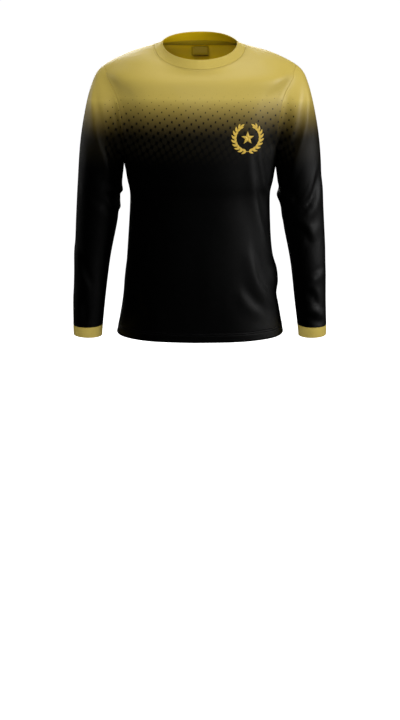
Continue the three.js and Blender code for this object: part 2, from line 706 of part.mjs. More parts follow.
const wreathSteps = EMBLEM.leaves * 8;
const wreath = Array.from({ length: wreathSteps + 1 }, (_, step) => {
  const share = step / wreathSteps;
  const angle = Math.PI / 2 + EMBLEM.gapAngle + share * (2 * Math.PI - 2 * EMBLEM.gapAngle);
  const leaf = EMBLEM.leaf * Math.abs(Math.sin(share * EMBLEM.leaves * Math.PI));
  return [-1, 0, 1].map((side) => {
    const radius = EMBLEM.radius + side * (EMBLEM.band / 2 - EMBLEM.leaf / 2 + leaf);
    return [EMBLEM.x + radius * Math.cos(angle), EMBLEM.z + radius * Math.sin(angle)];
  });
});
addFilm("emblem_wreath", wreath, false);

const starHole = 1.2; // the star's film is pierced at its middle, where its facets meet
const star = Array.from({ length: 2 * STAR.points }, (_, step) => {
  const angle = Math.PI / 2 + (step * Math.PI) / STAR.points;
  const tip = step % 2 ? STAR.inner : STAR.outer;
  return [starHole, (starHole + tip) / 2, tip].map((radius) =>
    [EMBLEM.x + radius * Math.cos(angle), EMBLEM.z + radius * Math.sin(angle)]);
});
addFilm("emblem_star", star, true);

export default shirt;
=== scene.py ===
"""Long-sleeved crew-neck cheer shirt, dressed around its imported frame.

The garment is cut as one welded skin, draped and folded, and then parted along its seams into
panels of knit cloth. Seam allowances, tape, labels, stitches and the chest emblem follow the same
skin. Everything is in metres, +X to the wearer's left, -Y to the front, +Z up.
"""

import json
import logging
import math
from dataclasses import dataclass, field
from enum import Enum
from typing import Callable, Iterable, Optional, Sequence

import bpy
import numpy as np
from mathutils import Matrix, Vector, noise
from mathutils.bvhtree import BVHTree

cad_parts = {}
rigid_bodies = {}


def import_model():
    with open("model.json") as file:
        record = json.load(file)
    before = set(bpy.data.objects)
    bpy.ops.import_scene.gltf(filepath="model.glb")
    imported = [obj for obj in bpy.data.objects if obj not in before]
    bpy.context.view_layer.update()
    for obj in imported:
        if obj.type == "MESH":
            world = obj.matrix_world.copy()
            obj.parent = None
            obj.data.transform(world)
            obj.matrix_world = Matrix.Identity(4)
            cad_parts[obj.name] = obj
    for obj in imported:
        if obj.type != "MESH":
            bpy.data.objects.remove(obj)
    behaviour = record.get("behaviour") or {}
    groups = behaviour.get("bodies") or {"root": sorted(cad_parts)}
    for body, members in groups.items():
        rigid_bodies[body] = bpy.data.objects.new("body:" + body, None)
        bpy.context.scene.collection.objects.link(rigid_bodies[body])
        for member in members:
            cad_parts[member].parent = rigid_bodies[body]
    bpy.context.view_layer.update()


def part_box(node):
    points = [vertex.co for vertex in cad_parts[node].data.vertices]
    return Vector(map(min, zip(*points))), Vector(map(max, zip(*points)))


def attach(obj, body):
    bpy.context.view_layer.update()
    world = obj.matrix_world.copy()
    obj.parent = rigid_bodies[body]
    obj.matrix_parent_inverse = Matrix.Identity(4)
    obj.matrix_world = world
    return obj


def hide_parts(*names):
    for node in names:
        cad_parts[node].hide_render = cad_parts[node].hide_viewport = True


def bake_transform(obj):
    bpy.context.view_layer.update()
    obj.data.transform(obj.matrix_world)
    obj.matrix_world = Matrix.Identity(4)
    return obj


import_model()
log = logging.getLogger("cheer_shirt")

Array = np.ndarray
Rgba = tuple[float, float, float, float]
MM = 0.001


class Panel(Enum):
    """The parts of the skin, in the order of their material slots."""

    FRONT = 0
    BACK = 1
    NECKBAND = 2
    LEFT_SLEEVE_FRONT = 3
    LEFT_SLEEVE_BACK = 4
    LEFT_CUFF = 5
    RIGHT_SLEEVE_FRONT = 6
    RIGHT_SLEEVE_BACK = 7
    RIGHT_CUFF = 8


class Side(Enum):
    """The wearer's two sides, with the sign of X on each."""

    LEFT = 1
    RIGHT = -1

    @property
    def word(self) -> str:
        """The side's name in piece names."""
        return self.name.lower()

    @property
    def arm(self) -> str:
        """The body that the side's sleeve belongs to."""
        return f"{self.word}_arm"


TORSO = {Panel.FRONT.value, Panel.BACK.value}


def sleeve_tags(side: Side) -> set[int]:
    """The two halves of a sleeve."""
    names = (f"{side.name}_SLEEVE_FRONT", f"{side.name}_SLEEVE_BACK")
    return {Panel[name].value for name in names}


# ---- Node helpers and shared effects ------------------------------------------------------------


class Nodes:
    """A short way to write a node tree."""

    def __init__(self, tree: bpy.types.NodeTree) -> None:
        """Starts on an empty tree.

        Args:
            tree: The tree that the nodes go into.
        """
        self.tree = tree

    def add(self, kind: str, inputs: Optional[dict] = None, **settings: object) -> bpy.types.Node:
        """Adds one node.

        Args:
            kind: The node's type, without its ShaderNode prefix where it has one.
            inputs: Values or sockets for its inputs, by name or index.
            **settings: Attributes of the node itself.

        Returns:
            The new node.
        """
        name = kind if kind.startswith("NodeGroup") else f"ShaderNode{kind}"
        node = self.tree.nodes.new(name)
        for key, value in settings.items():
            setattr(node, key, value)
        return self.fill(node, inputs or {})

    def fill(self, node: bpy.types.Node, inputs: dict) -> bpy.types.Node:
        """Links or sets a node's inputs, by name or index, and gives the node back."""
        for key, value in inputs.items():
            if isinstance(value, bpy.types.NodeSocket):
                self.tree.links.new(value, node.inputs[key])
            else:
                node.inputs[key].default_value = value
        return node

    def math(self, operation: str, *values: object) -> bpy.types.NodeSocket:
        """Adds a Math node and gives its result."""
        return self.add("Math", dict(enumerate(values)), operation=operation).outputs[0]

    def ramp(self, value: object, low: float, high: float) -> bpy.types.NodeSocket:
        """A smooth step of value from 0 at low to 1 at high."""
        node = self.add("MapRange", {0: value, 1: low, 2: high}, interpolation_type="SMOOTHSTEP")
        return node.outputs[0]

    def mix(self, factor: object, first: object, second: object) -> bpy.types.NodeSocket:
        """Mixes two colours."""
        node = self.add("Mix", {0: factor, 6: first, 7: second}, data_type="RGBA")
        return node.outputs[2]

    def group(self, tree: bpy.types.NodeTree, inputs: dict) -> bpy.types.Node:
        """Places a shared effect."""
        node = self.tree.nodes.new("ShaderNodeGroup")
        node.node_tree = tree
        return self.fill(node, inputs)


def new_effect(name: str, inputs: dict[str, tuple[str, object]], outputs: dict[str, str]):
    """Makes the empty node group of a shared effect.

    Args:
        name: The group's name.
        inputs: Socket kind and default value by input name.
        outputs: Socket kind by output name.

    Returns:
        The tree, a Nodes helper on it, its input node and its output node.
    """
    tree = bpy.data.node_groups.new(name, "ShaderNodeTree")
    for socket, (kind, value) in inputs.items():
        item = tree.interface.new_socket(socket, in_out="INPUT", socket_type=f"NodeSocket{kind}")
        if value is not None:
            item.default_value = value
    for socket, kind in outputs.items():
        tree.interface.new_socket(socket, in_out="OUTPUT", socket_type=f"NodeSocket{kind}")
    source = tree.nodes.new("NodeGroupInput")
    sink = tree.nodes.new("NodeGroupOutput")
    return tree, Nodes(tree), source, sink


def knit_effect() -> bpy.types.NodeTree:
    """Interlock knit: rows of narrow loops, from a place on the cloth in metres."""
    tree, nodes, source, sink = new_effect(
        "Knit loops",
        {"Place": ("Vector", None), "Wale": ("Float", 0.0013), "Course": ("Float", 0.0011)},
        {"Height": "Float", "Shade": "Float"},
    )
    split = nodes.add("SeparateXYZ", {0: source.outputs["Place"]})
    across = nodes.math("DIVIDE", split.outputs[0], source.outputs["Wale"])
    along = nodes.math("DIVIDE", split.outputs[1], source.outputs["Course"])
    wale = nodes.math("ABSOLUTE", nodes.math("SINE", nodes.math("MULTIPLY", across, math.pi)))
    slant = nodes.math("ADD", along, nodes.math("MULTIPLY", wale, 0.55))
    loop = nodes.math("SINE", nodes.math("MULTIPLY", slant, 2 * math.pi))
    swing, body = (nodes.math("MULTIPLY", wale, share) for share in (0.22, 0.7))
    height = nodes.math("MULTIPLY_ADD", loop, swing, body)
    tree.links.new(height, sink.inputs["Height"])
    # The colour is painted darker in the hollows between the loops: painted shade.
    tree.links.new(nodes.math("MULTIPLY_ADD", height, 0.16, 0.9), sink.inputs["Shade"])
    return tree


def slub_effect() -> bpy.types.NodeTree:
    """Uneven yarn and soft handling marks: a shade that wanders, and a little height."""
    tree, nodes, source, sink = new_effect(
        "Yarn slub",
        {"Place": ("Vector", None), "Spread": ("Float", 0.06)},
        {"Shade": "Float", "Height": "Float"},
    )
    place = nodes.add("Mapping", {0: source.outputs["Place"], 3: (1.0, 0.35, 1.0)})
    fine = nodes.add("TexNoise", {"Vector": place.outputs[0], "Scale": 900.0, "Detail": 3.0})
    broad = nodes.add("TexNoise", {"Vector": source.outputs["Place"], "Scale": 14.0, "Detail": 2.0})
    shares = ((fine, 0.6), (broad, 0.4))
    both = nodes.math("ADD", *(nodes.math("MULTIPLY", node.outputs[0], share) for node, share in shares))
    centred = nodes.math("SUBTRACT", both, 0.5)
    shade = nodes.math("MULTIPLY_ADD", centred, source.outputs["Spread"], 1.0)
    tree.links.new(shade, sink.inputs["Shade"])
    tree.links.new(fine.outputs[0], sink.inputs["Height"])
    return tree


@dataclass(frozen=True)
class DotPrint:
    """The printed yoke: a slanted lattice of gold discs over black, in metres across and up.

    Where the discs are so large that they run together, what is left between them is a small
    four-cornered black dot.
    """

    first: tuple[float, float] = (0.00616, -0.01481)
    second: tuple[float, float] = (0.01047, 0.00848)
    origin: tuple[float, float] = (-0.0046, -0.1494)
    half_width: float = 0.219
    disc_heights: tuple[float, float] = (-0.141, -0.276)
    disc_sizes: tuple[float, float] = (0.64, 0.385)
    edge: float = 0.016
    fade_from: float = -0.126
    fade_to: float = -0.221
    ghost_to: float = -0.287

    def coefficients(self) -> tuple[tuple[float, float], tuple[float, float]]:
        """Weights of (across, up) that give the two lattice numbers of a place."""
        (ax, az), (bx, bz) = self.first, self.second
        area = ax * bz - az * bx
        return (bz / area, -bx / area), (-az / area, ax / area)


def dot_print_effect(design: DotPrint) -> bpy.types.NodeTree:
    """Builds the yoke's print.

    Args:
        design: The lattice, and the heights between which its discs and the fade run.

    Returns:
        The node group. Place is (across, height) on the hanging garment. Fade is 0 in the gold and 1
        in the black, Ink is 1 between the discs, and Ghost is the faint dye left in the lowest discs.
    """
    tree, nodes, source, sink = new_effect(
        "Dotted fade", {"Place": ("Vector", None), "Drop": ("Float", 0.0)},
        {"Fade": "Float", "Ink": "Float", "Ghost": "Float"}
    )
    split = nodes.add("SeparateXYZ", {0: source.outputs["Place"]})
    across = split.outputs[0]
    height = nodes.math("ADD", split.outputs[1], source.outputs["Drop"])
    right = nodes.math("SUBTRACT", across, design.origin[0])
    up = nodes.math("SUBTRACT", split.outputs[1], design.origin[1])
    squares = []
    for to_right, to_up in design.coefficients():
        number = nodes.math("MULTIPLY_ADD", right, to_right, nodes.math("MULTIPLY", up, to_up))
        part = nodes.math("SUBTRACT", nodes.math("FRACT", number), 0.5)
        squares.append(nodes.math("MULTIPLY", part, part))
    from_disc = nodes.math("SQRT", nodes.math("ADD", *squares))
    (high, low), (large, small) = design.disc_heights, design.disc_sizes
    slope = (large - small) / (high - low)
    disc = nodes.math("MULTIPLY_ADD", height, slope, large - slope * high)
    between = nodes.ramp(nodes.math("SUBTRACT", from_disc, disc), -design.edge, design.edge)
    inside = nodes.math("LESS_THAN", nodes.math("ABSOLUTE", across), design.half_width)
    tree.links.new(nodes.math("MULTIPLY", between, inside), sink.inputs["Ink"])
    fade = nodes.add("MapRange", {0: height, 1: design.fade_from, 2: design.fade_to})
    tree.links.new(fade.outputs[0], sink.inputs["Fade"])
    tree.links.new(nodes.ramp(height, design.ghost_to, design.fade_to), sink.inputs["Ghost"])
    return tree


def seam_effect() -> bpy.types.NodeTree:
    """Herringbone of tape and the looped edge of an overlocked seam."""
    tree, nodes, source, sink = new_effect(
        "Looped edge",
        {"Place": ("Vector", None), "Pitch": ("Float", 0.0024), "Slant": ("Float", 0.8)},
        {"Height": "Float"},
    )
    split = nodes.add("SeparateXYZ", {0: source.outputs["Place"]})
    fold = nodes.math("PINGPONG", split.outputs[1], 0.0035)
    slanted = nodes.math("MULTIPLY_ADD", fold, source.outputs["Slant"], split.outputs[0])
    turns = nodes.math("DIVIDE", slanted, source.outputs["Pitch"])
    wave = nodes.math("SINE", nodes.math("MULTIPLY", turns, math.pi))
    tree.links.new(nodes.math("ABSOLUTE", wave), sink.inputs["Height"])
    return tree


@dataclass
class Effects:
    """The shared effects, built once."""

    knit: bpy.types.NodeTree = field(default_factory=knit_effect)
    slub: bpy.types.NodeTree = field(default_factory=slub_effect)
    print: bpy.types.NodeTree = field(default_factory=lambda: dot_print_effect(DotPrint()))
    edge: bpy.types.NodeTree = field(default_factory=seam_effect)


# ---- Finishes -----------------------------------------------------------------------------------

GOLD: Rgba = (0.560, 0.425, 0.088, 1.0)
WARM: Rgba = (0.560, 0.370, 0.060, 1.0)
# The inner faces are the body's gold, painted deeper and more saturated to give the look of the shaded inside
# of the collar, and painted brighter to make up for the little light that reaches in there: painted shade and
# painted light.
INSIDE_GOLD_PAINTED_LIGHT_AND_SHADE: Rgba = (0.950, 0.640, 0.003, 1.0)
GHOST: Rgba = (0.0078, 0.0062, 0.0026, 1.0)
BLACK: Rgba = (0.0005, 0.0005, 0.0005, 1.0)
PRINT_MAP = "Print"
KNIT_MAP = "Knit"


@dataclass(frozen=True)
class Weave:
    """How a cloth's surface catches light."""

    roughness: float = 0.50
    sheen: float = 0.0
    sheen_roughness: float = 0.4
    specular: float = 0.30
    coat: float = 0.45
    bump: float = 0.0002


def new_material(name: str, weave: Weave) -> tuple[bpy.types.Material, Nodes, bpy.types.Node]:
    """Makes a cloth material with its uniform values set.

    Args:
        name: The material's name.
        weave: Its gloss and sheen.

    Returns:
        The material, a Nodes helper on its tree, and its shader.
    """
    material = bpy.data.materials.new(name)
    material.use_nodes = True
    shader = material.node_tree.nodes["Principled BSDF"]
    shader.inputs["Roughness"].default_value = weave.roughness
    shader.inputs["Sheen Weight"].default_value = weave.sheen
    shader.inputs["Sheen Roughness"].default_value = weave.sheen_roughness
    shader.inputs["Specular IOR Level"].default_value = weave.specular
    return material, Nodes(material.node_tree), shader


@dataclass(frozen=True)
class PrintedKnit:
    """Sublimated interlock of the body and sleeves."""

    name: str
    gold: Rgba = GOLD
    weave: Weave = Weave()
    hem_lines: tuple[float, ...] = ()
    fade_drop: float = 0.0

    def make(self, effects: Effects) -> bpy.types.Material:
        """Builds the material.

        Args:
            effects: The shared effects.

        Returns:
            The finished material.
        """
        material, nodes, shader = new_material(self.name, self.weave)
        printed = nodes.add("UVMap", uv_map=PRINT_MAP).outputs[0]
        place = nodes.add("UVMap", uv_map=KNIT_MAP).outputs[0]
        yoke = nodes.group(effects.print, {"Place": printed, "Drop": self.fade_drop})
        knit = nodes.group(effects.knit, {"Place": place})
        slub = nodes.group(effects.slub, {"Place": place, "Spread": 0.10})
        # The dye thins out evenly to the eye, and the gold turns a little redder as it does.
        left = nodes.math("POWER", nodes.math("SUBTRACT", 1.0, yoke.outputs["Fade"]), 2.2)
        shader.inputs["Coat Roughness"].default_value = 0.42
        nodes.tree.links.new(nodes.math("MULTIPLY", left, self.weave.coat), shader.inputs["Coat Weight"])
        gold = nodes.mix(yoke.outputs["Fade"], self.gold, WARM)
        ghost = nodes.mix(yoke.outputs["Ghost"], BLACK, GHOST)
        dyed = nodes.mix(left, ghost, gold)
        dyed = nodes.mix(yoke.outputs["Ink"], dyed, BLACK)
        # The knit's painted shade in the hollows between the loops, times the yarn's own wandering tone.
        shade = nodes.math("MULTIPLY", knit.outputs["Shade"], slub.outputs["Shade"])
        toned = nodes.add("HueSaturation", {"Value": shade, "Color": dyed}).outputs[0]
        height = nodes.math("MULTIPLY_ADD", slub.outputs["Height"], 0.5, knit.outputs["Height"])
        for line in self.hem_lines:
            height = nodes.math("SUBTRACT", height, self.groove(nodes, place, line))
        bump = nodes.add("Bump", {"Height": height, "Distance": self.weave.bump, "Strength": 0.7})
        rough = nodes.math("MULTIPLY_ADD", slub.outputs["Height"], 0.16, self.weave.roughness - 0.08)
        nodes.tree.links.new(toned, shader.inputs["Base Color"])
        nodes.tree.links.new(rough, shader.inputs["Roughness"])
        nodes.tree.links.new(bump.outputs[0], shader.inputs["Normal"])
        return material

    @staticmethod
    def groove(nodes: Nodes, place: bpy.types.NodeSocket, line: float) -> bpy.types.NodeSocket:
        """A needle line's groove at a distance above the hem."""
        up = nodes.add("SeparateXYZ", {0: place}).outputs[1]
        away = nodes.math("ABSOLUTE", nodes.math("SUBTRACT", up, line))
        return nodes.math("MULTIPLY", nodes.ramp(away, 0.0018, 0.0004), 5.0)


@dataclass(frozen=True)
class PlainCloth:
    """A cloth of one dye: neckband, cuffs, tape, seam edges, thread or labels."""

    name: str
    colour: Rgba
    wale: float = 0.0013
    edge: bool = False
    weave: Weave = Weave()

    def make(self, effects: Effects) -> bpy.types.Material:
        """Builds the material.

        Args:
            effects: The shared effects.

        Returns:
            The finished material.
        """
        material, nodes, shader = new_material(self.name, self.weave)
        place = nodes.add("UVMap", uv_map=KNIT_MAP).outputs[0]
        slub = nodes.group(effects.slub, {"Place": place, "Spread": 0.16})
        if self.edge:
            height = nodes.group(effects.edge, {"Place": place}).outputs["Height"]
            # The looped edge is painted darker in the grooves between its loops: painted shade.
            shade = nodes.math("MULTIPLY_ADD", height, 0.35, 0.72)
        else:
            knit = nodes.group(effects.knit, {"Place": place, "Wale": self.wale})
            # The knit's shade is painted shade in the hollows between the loops.
            height, shade = knit.outputs["Height"], knit.outputs["Shade"]
        shade = nodes.math("MULTIPLY", shade, slub.outputs["Shade"])
        toned = nodes.add("HueSaturation", {"Value": shade, "Color": self.colour}).outputs[0]
        bump = nodes.add("Bump", {"Height": height, "Distance": self.weave.bump, "Strength": 0.8})
        rough = nodes.math("MULTIPLY_ADD", slub.outputs["Height"], 0.2, self.weave.roughness - 0.1)
        nodes.tree.links.new(toned, shader.inputs["Base Color"])
        nodes.tree.links.new(rough, shader.inputs["Roughness"])
        nodes.tree.links.new(bump.outputs[0], shader.inputs["Normal"])
        return material


HEM_NEEDLES = (0.018, 0.023)


class Finishes:
    """Every finish of the garment, made once."""

    def __init__(self) -> None:
        """Builds the shared effects and the materials."""
        effects = Effects()
        thread = Weave(roughness=0.5, sheen=0.05, specular=0.4, bump=0.0001)
        rib = Weave(bump=0.00045)

        def cloth(name: str, colour: Rgba, **settings: object) -> bpy.types.Material:
            """Makes one plain cloth or thread."""
            return PlainCloth(name, colour, **settings).make(effects)

        self.body = PrintedKnit("Printed interlock, body", hem_lines=HEM_NEEDLES).make(effects)
        self.sleeve = PrintedKnit("Printed interlock, sleeve", fade_drop=0.009).make(effects)
        # The inner faces take the gold with painted shade and painted light.
        self.reverse = PrintedKnit("Reverse of the interlock", gold=INSIDE_GOLD_PAINTED_LIGHT_AND_SHADE).make(effects)
        self.band_reverse = cloth("Reverse of the rib", INSIDE_GOLD_PAINTED_LIGHT_AND_SHADE, wale=0.0026, weave=rib)
        self.neckband = cloth("Gold neckband rib", GOLD, wale=0.0026, weave=rib)
        self.cuff = cloth("Gold cuff knit", GOLD, wale=0.0019, weave=rib)
        self.tape = cloth("Gold herringbone tape", (0.44, 0.30, 0.006, 1), edge=True, weave=rib)
        self.gold_edge = cloth("Gold overlock edge", (0.46, 0.35, 0.07, 1), edge=True, weave=rib)
        self.black_edge = cloth("Black overlock edge", (0.006, 0.006, 0.007, 1), edge=True, weave=rib)
        self.gold_thread = cloth("Gold sewing thread", (0.50, 0.39, 0.10, 1), wale=0.0004, weave=thread)
        self.black_thread = cloth("Black sewing thread", (0.005, 0.005, 0.006, 1), wale=0.0004, weave=thread)
        self.label = cloth("Gold satin label", (0.26, 0.175, 0.003, 1), wale=0.0006, weave=thread)
        self.film = self.emblem_film(effects)

    @staticmethod
    def emblem_film(effects: Effects) -> bpy.types.Material:
        """Satin gold film, pressed into the knit so that the loops print through."""
        material, nodes, shader = new_material("Gold emblem film", Weave(roughness=0.38, specular=0.5))
        place = nodes.add("UVMap", uv_map=KNIT_MAP).outputs[0]
        knit = nodes.group(effects.knit, {"Place": place})
        slub = nodes.group(effects.slub, {"Place": place, "Spread": 0.3})
        gold: Rgba = (0.68, 0.46, 0.07, 1.0)
        toned = nodes.add("HueSaturation", {"Value": slub.outputs["Shade"], "Color": gold}).outputs[0]
        bump = nodes.add("Bump", {"Height": knit.outputs["Height"], "Distance": 0.00012, "Strength": 0.5})
        nodes.tree.links.new(toned, shader.inputs["Base Color"])
        nodes.tree.links.new(bump.outputs[0], shader.inputs["Normal"])
        return material


# ---- The cut of the garment ---------------------------------------------------------------------


def mix(first: float, second: float, share: float) -> float:
    """The value a share of the way from first to second."""
    return first + (second - first) * share


def smooth(value: Array, low: float, high: float) -> Array:
    """A smooth step from 0 at low to 1 at high."""
    share = np.clip((value - low) / (high - low), 0.0, 1.0)
    return share * share * (3.0 - 2.0 * share)


@dataclass(frozen=True)
class NeckLine:
    """A ring round the neck: half widths, and heights at side, front and back."""

    side: float
    front: float
    back: float
    side_z: float
    front_z: float
    back_z: float


@dataclass(frozen=True)
class Cut:
    """Driving sizes of the garment as it hangs, in metres."""

    body_length: float = 0.694
    hem_drop_back: float = 0.020
    hem_half_width: float = 0.204
    hem_half_depth: float = 0.120
    waist_height: float = -0.372
    waist_half_width: float = 0.166
    waist_half_depth: float = 0.109
    belly: float = 0.003
    chest_half_depth: float = 0.122
    underarm: tuple[float, float] = (0.178, -0.278)
    shoulder: tuple[float, float] = (0.222, -0.058)
    armhole_half_depth: float = 0.066
    armhole_scoop: float = 0.020
    neck_seam: NeckLine = NeckLine(0.105, 0.092, 0.076, -0.015, -0.064, -0.006)
    neck_opening: NeckLine = NeckLine(0.086, 0.080, 0.065, -0.008, -0.043, 0.014)
    shoulder_rise: float = 0.006
    shoulder_fall: float = 1.5
    neck_fall: float = 1.0
    wrist: tuple[float, float, float, float, float] = (0.307, 0.236, -0.670, 0.040, 0.030)
    elbow: tuple[float, float, float, float, float] = (0.297, 0.199, -0.430, 0.055, 0.004)
    cuff_length: float = 0.024
    cuff_taper: float = 0.003
    columns: int = 16
    ring: int = 12
    power: float = 2.35
    armhole_row: int = 5
    chest_rows: tuple[float, ...] = (0.02, 0.27, 0.5, 0.7, 0.85, 0.93)
    chest_bulge: tuple[float, ...] = (0.0, 0.003, 0.002, -0.005, -0.012, -0.018)
    back_rows: tuple[float, ...] = (0.03, 0.26, 0.48, 0.68, 0.84, 0.93)
    back_bulge: tuple[float, ...] = (-0.011, -0.006, -0.005, -0.011, -0.024, -0.034)


class GarmentCage:
    """The coarse cage of four-sided cells that the skin is subdivided from."""

    def __init__(self, cut: Cut) -> None:
        """Draws the cage.

        Args:
            cut: The garment's sizes.
        """
        self.cut = cut
        self.points: list[Vector] = []
        self.cells: list[tuple[int, ...]] = []
        self.tags: list[int] = []
        self.knit_places: list[list[tuple[float, float]]] = []
        self.rows = [[self.add(p) if p else -1 for p in row] for row in self.body_rows()]
        self.sew_body()
        for side in Side:
            self.sew_sleeve(side)

    def add(self, point: Vector) -> int:
        """Keeps a point and gives its index."""
        self.points.append(point)
        return len(self.points) - 1

    def section_point(self, angle: float, width: float, front: float, back: float,
                      heights: tuple[float, float, float], power: float, fall: float = 2.0) -> Vector:
        """Point of a level section of the body.

        Args:
            angle: From the wearer's left side round by the front.
            width: Half width.
            front: Half depth at the front.
            back: Half depth at the back.
            heights: Height at the side, the front and the back.
            power: Roundness, 2 being an ellipse.
            fall: How the height runs from side to middle, 1 being a tilted flat ring.

        Returns:
            The point.
        """
        c, s = math.cos(angle), math.sin(angle)
        depth, middle = (front, heights[1]) if s > 0 else (back, heights[2])
        x = math.copysign(abs(c) ** (2 / power), c) * width
        y = -math.copysign(abs(s) ** (2 / power), s) * depth
        return Vector((x, y, mix(heights[0], middle, abs(s) ** fall)))

    def mirrored_row(self, point_of: Callable[[int], Optional[Vector]]) -> list[Optional[Vector]]:
        """A row of the cage, drawn on the wearer's left and mirrored."""
        quarter = self.cut.columns // 4
        row = []
        for column in range(self.cut.columns):
            on_right = quarter < column < 3 * quarter
            source = 2 * quarter - column if on_right else column
            point = point_of(source - self.cut.columns if source > 2 * quarter else source)
            if point and on_right:
                point = Vector((-point.x, point.y, point.z))
            row.append(point)
        return row

    def armhole_point(self, angle: float) -> Vector:
        """Point of the armhole's edge, by its angle from the shoulder point round by the front."""
        cut = self.cut
        c, s = math.cos(angle), math.sin(angle)
        x = mix(cut.underarm[0], cut.shoulder[0], (1 + c) / 2) - cut.armhole_scoop * s * s
        return Vector((x, -cut.armhole_half_depth * s, mix(cut.underarm[1], cut.shoulder[1], (1 + c) / 2)))

    def chest_point(self, edge: Vector, centre_y: float, centre_z: float, share: float) -> Vector:
        """Point between the armhole's edge and the centre line, on the section through both."""
        power = self.cut.power
        depth = abs(centre_y)
        edge_y = min(abs(edge.y), depth * 0.999)
        width = edge.x / (1 - (edge_y / depth) ** power) ** (1 / power)
        angle = mix(math.asin((edge_y / depth) ** (power / 2)), math.pi / 2, share)
        x = width * max(math.cos(angle), 0.0) ** (2 / power)
        y = math.copysign(depth * math.sin(angle) ** (2 / power), centre_y)
        return Vector((x, y, mix(centre_z, edge.z, abs(x / edge.x) ** 2.2)))

    def lower_sections(self) -> list[tuple[float, float, float, float, float]]:
        """Height, half width, front and back depths and drop of the rows below the underarm."""
        cut = self.cut
        front, back = cut.waist_half_depth + cut.belly, cut.waist_half_depth - cut.belly
        rows = []
        for up, narrowing, drop in ((0, 0, 1), (0.3, 0.46, 0.7), (0.64, 0.78, 0.3), (1, 1, 0)):
            rows.append((
                mix(-cut.body_length, cut.waist_height, up),
                mix(cut.hem_half_width, cut.waist_half_width, narrowing),
                mix(cut.hem_half_depth, front, up),
                mix(cut.hem_half_depth, back, up),
                cut.hem_drop_back * drop,
            ))
        rows.append((
            mix(cut.waist_height, cut.underarm[1], 0.5),
            mix(cut.waist_half_width, cut.underarm[0], 0.5),
            mix(front, cut.chest_half_depth, 0.5),
            mix(back, cut.chest_half_depth + cut.back_bulge[0], 0.5),
            0.0,
        ))
        return rows

    def body_rows(self) -> list[list[Optional[Vector]]]:
        """Every row of the body, hem first, up to the neckband's free edge."""
        cut = self.cut
        turn = 2 * math.pi / cut.columns
        low_z = cut.underarm[1] + 0.014
        rows = [
            self.mirrored_row(lambda column, s=section: self.section_point(
                column * turn, s[1], s[2], s[3], (s[0], s[0], s[0] - s[4]), cut.power))
            for section in self.lower_sections()
        ]
        for step in range(5):
            rows.append(self.mirrored_row(lambda column, k=step: self.armhole_row_point(column, k, low_z)))
        neck, opening = cut.neck_seam, cut.neck_opening
        rows.append(self.mirrored_row(lambda column: self.section_point(
            column * turn,
            mix(cut.shoulder[0], neck.side, 0.5),
            mix(cut.chest_half_depth + cut.chest_bulge[5], neck.front, 0.45),
            mix(cut.chest_half_depth + cut.back_bulge[5], neck.back, 0.45),
            (
                mix(cut.shoulder[1], neck.side_z, 0.5) + cut.shoulder_rise,
                mix(low_z, neck.front_z, cut.chest_rows[5]),
                mix(low_z, neck.back_z, cut.back_rows[5]),
            ), 2.0, cut.shoulder_fall)))
        for line in (neck, opening):
            rows.append(self.mirrored_row(lambda column, n=line: self.section_point(
                column * turn, n.side, n.front, n.back,
                (n.side_z, n.front_z, n.back_z), 2.0, cut.neck_fall)))
        return rows

    def armhole_row_point(self, column: int, step: int, low_z: float) -> Optional[Vector]:
        """Point of one of the five rows that meet the armhole, or None where it is open."""
        cut = self.cut
        if column == 0:
            ends = {0: cut.underarm, 4: cut.shoulder}
            return Vector((ends[step][0], 0.0, ends[step][1])) if step in ends else None
        front = column > 0
        angle = (5 - step) / cut.ring * 2 * math.pi
        edge = self.armhole_point(angle if front else -angle)
        top, rows, bulge = (
            (cut.neck_seam.front_z, cut.chest_rows, cut.chest_bulge) if front
            else (cut.neck_seam.back_z, cut.back_rows, cut.back_bulge)
        )
        depth = cut.chest_half_depth + bulge[step]
        share = (abs(column) - 1) / (cut.columns // 4 - 1)
        return self.chest_point(edge, -depth if front else depth, mix(low_z, top, rows[step]), share)

    def sleeve_rings(self) -> list[tuple[Vector, Vector, float, float]]:
        """Outer point, inner point, half depth and forward lean of each ring below the armhole."""
        cut = self.cut
        outer_e, inner_e, z_e, depth_e, lean_e = cut.elbow
        outer_w, inner_w, z_w, depth_w, lean_w = cut.wrist
        rings = []
        for share, spread in ((0.09, 0.34), (0.24, 0.57), (0.43, 0.75), (0.67, 0.88), (1, 1)):
            low = share ** 1.35
            rings.append((
                Vector((mix(cut.shoulder[0], outer_e, spread), 0, mix(cut.shoulder[1], z_e, share))),
                Vector((mix(cut.underarm[0], inner_e, low), 0, mix(cut.underarm[1], z_e, low))),
                mix(cut.armhole_half_depth, depth_e, share),
                lean_e * share * share,
            ))
        for share in (0.34, 0.68, 1):
            z = mix(z_e, z_w, share)
            rings.append((
                Vector((mix(outer_e, outer_w, share ** 0.6), 0, z)),
                Vector((mix(inner_e, inner_w, share ** 0.75), 0, z)),
                mix(depth_e, depth_w, share),
                mix(lean_e, lean_w, share ** 1.2),
            ))
        half_taper = cut.cuff_taper / 2
        end = z_w - cut.cuff_length
        rings.append((
            Vector((outer_w + 0.001 - half_taper, 0, end)),
            Vector((inner_w + 0.001 + half_taper, 0, end - 0.003)),
            depth_w - cut.cuff_taper,
            lean_w + 0.003,
        ))
        return rings

    def armhole_rim(self, side: Side) -> list[int]:
        """The cage points round an armhole, from the shoulder point by the front."""
        front = [(4, 1), (3, 1), (2, 1), (1, 1), (0, 1)]
        back = [(up, -across) for up, across in reversed(front)]
        path = [(4, 0), *front, (0, 0), *back]
        columns = self.cut.columns
        centre = 0 if side is Side.LEFT else columns // 2
        first = self.cut.armhole_row
        return [self.rows[first + up][(centre + side.value * across) % columns] for up, across in path]

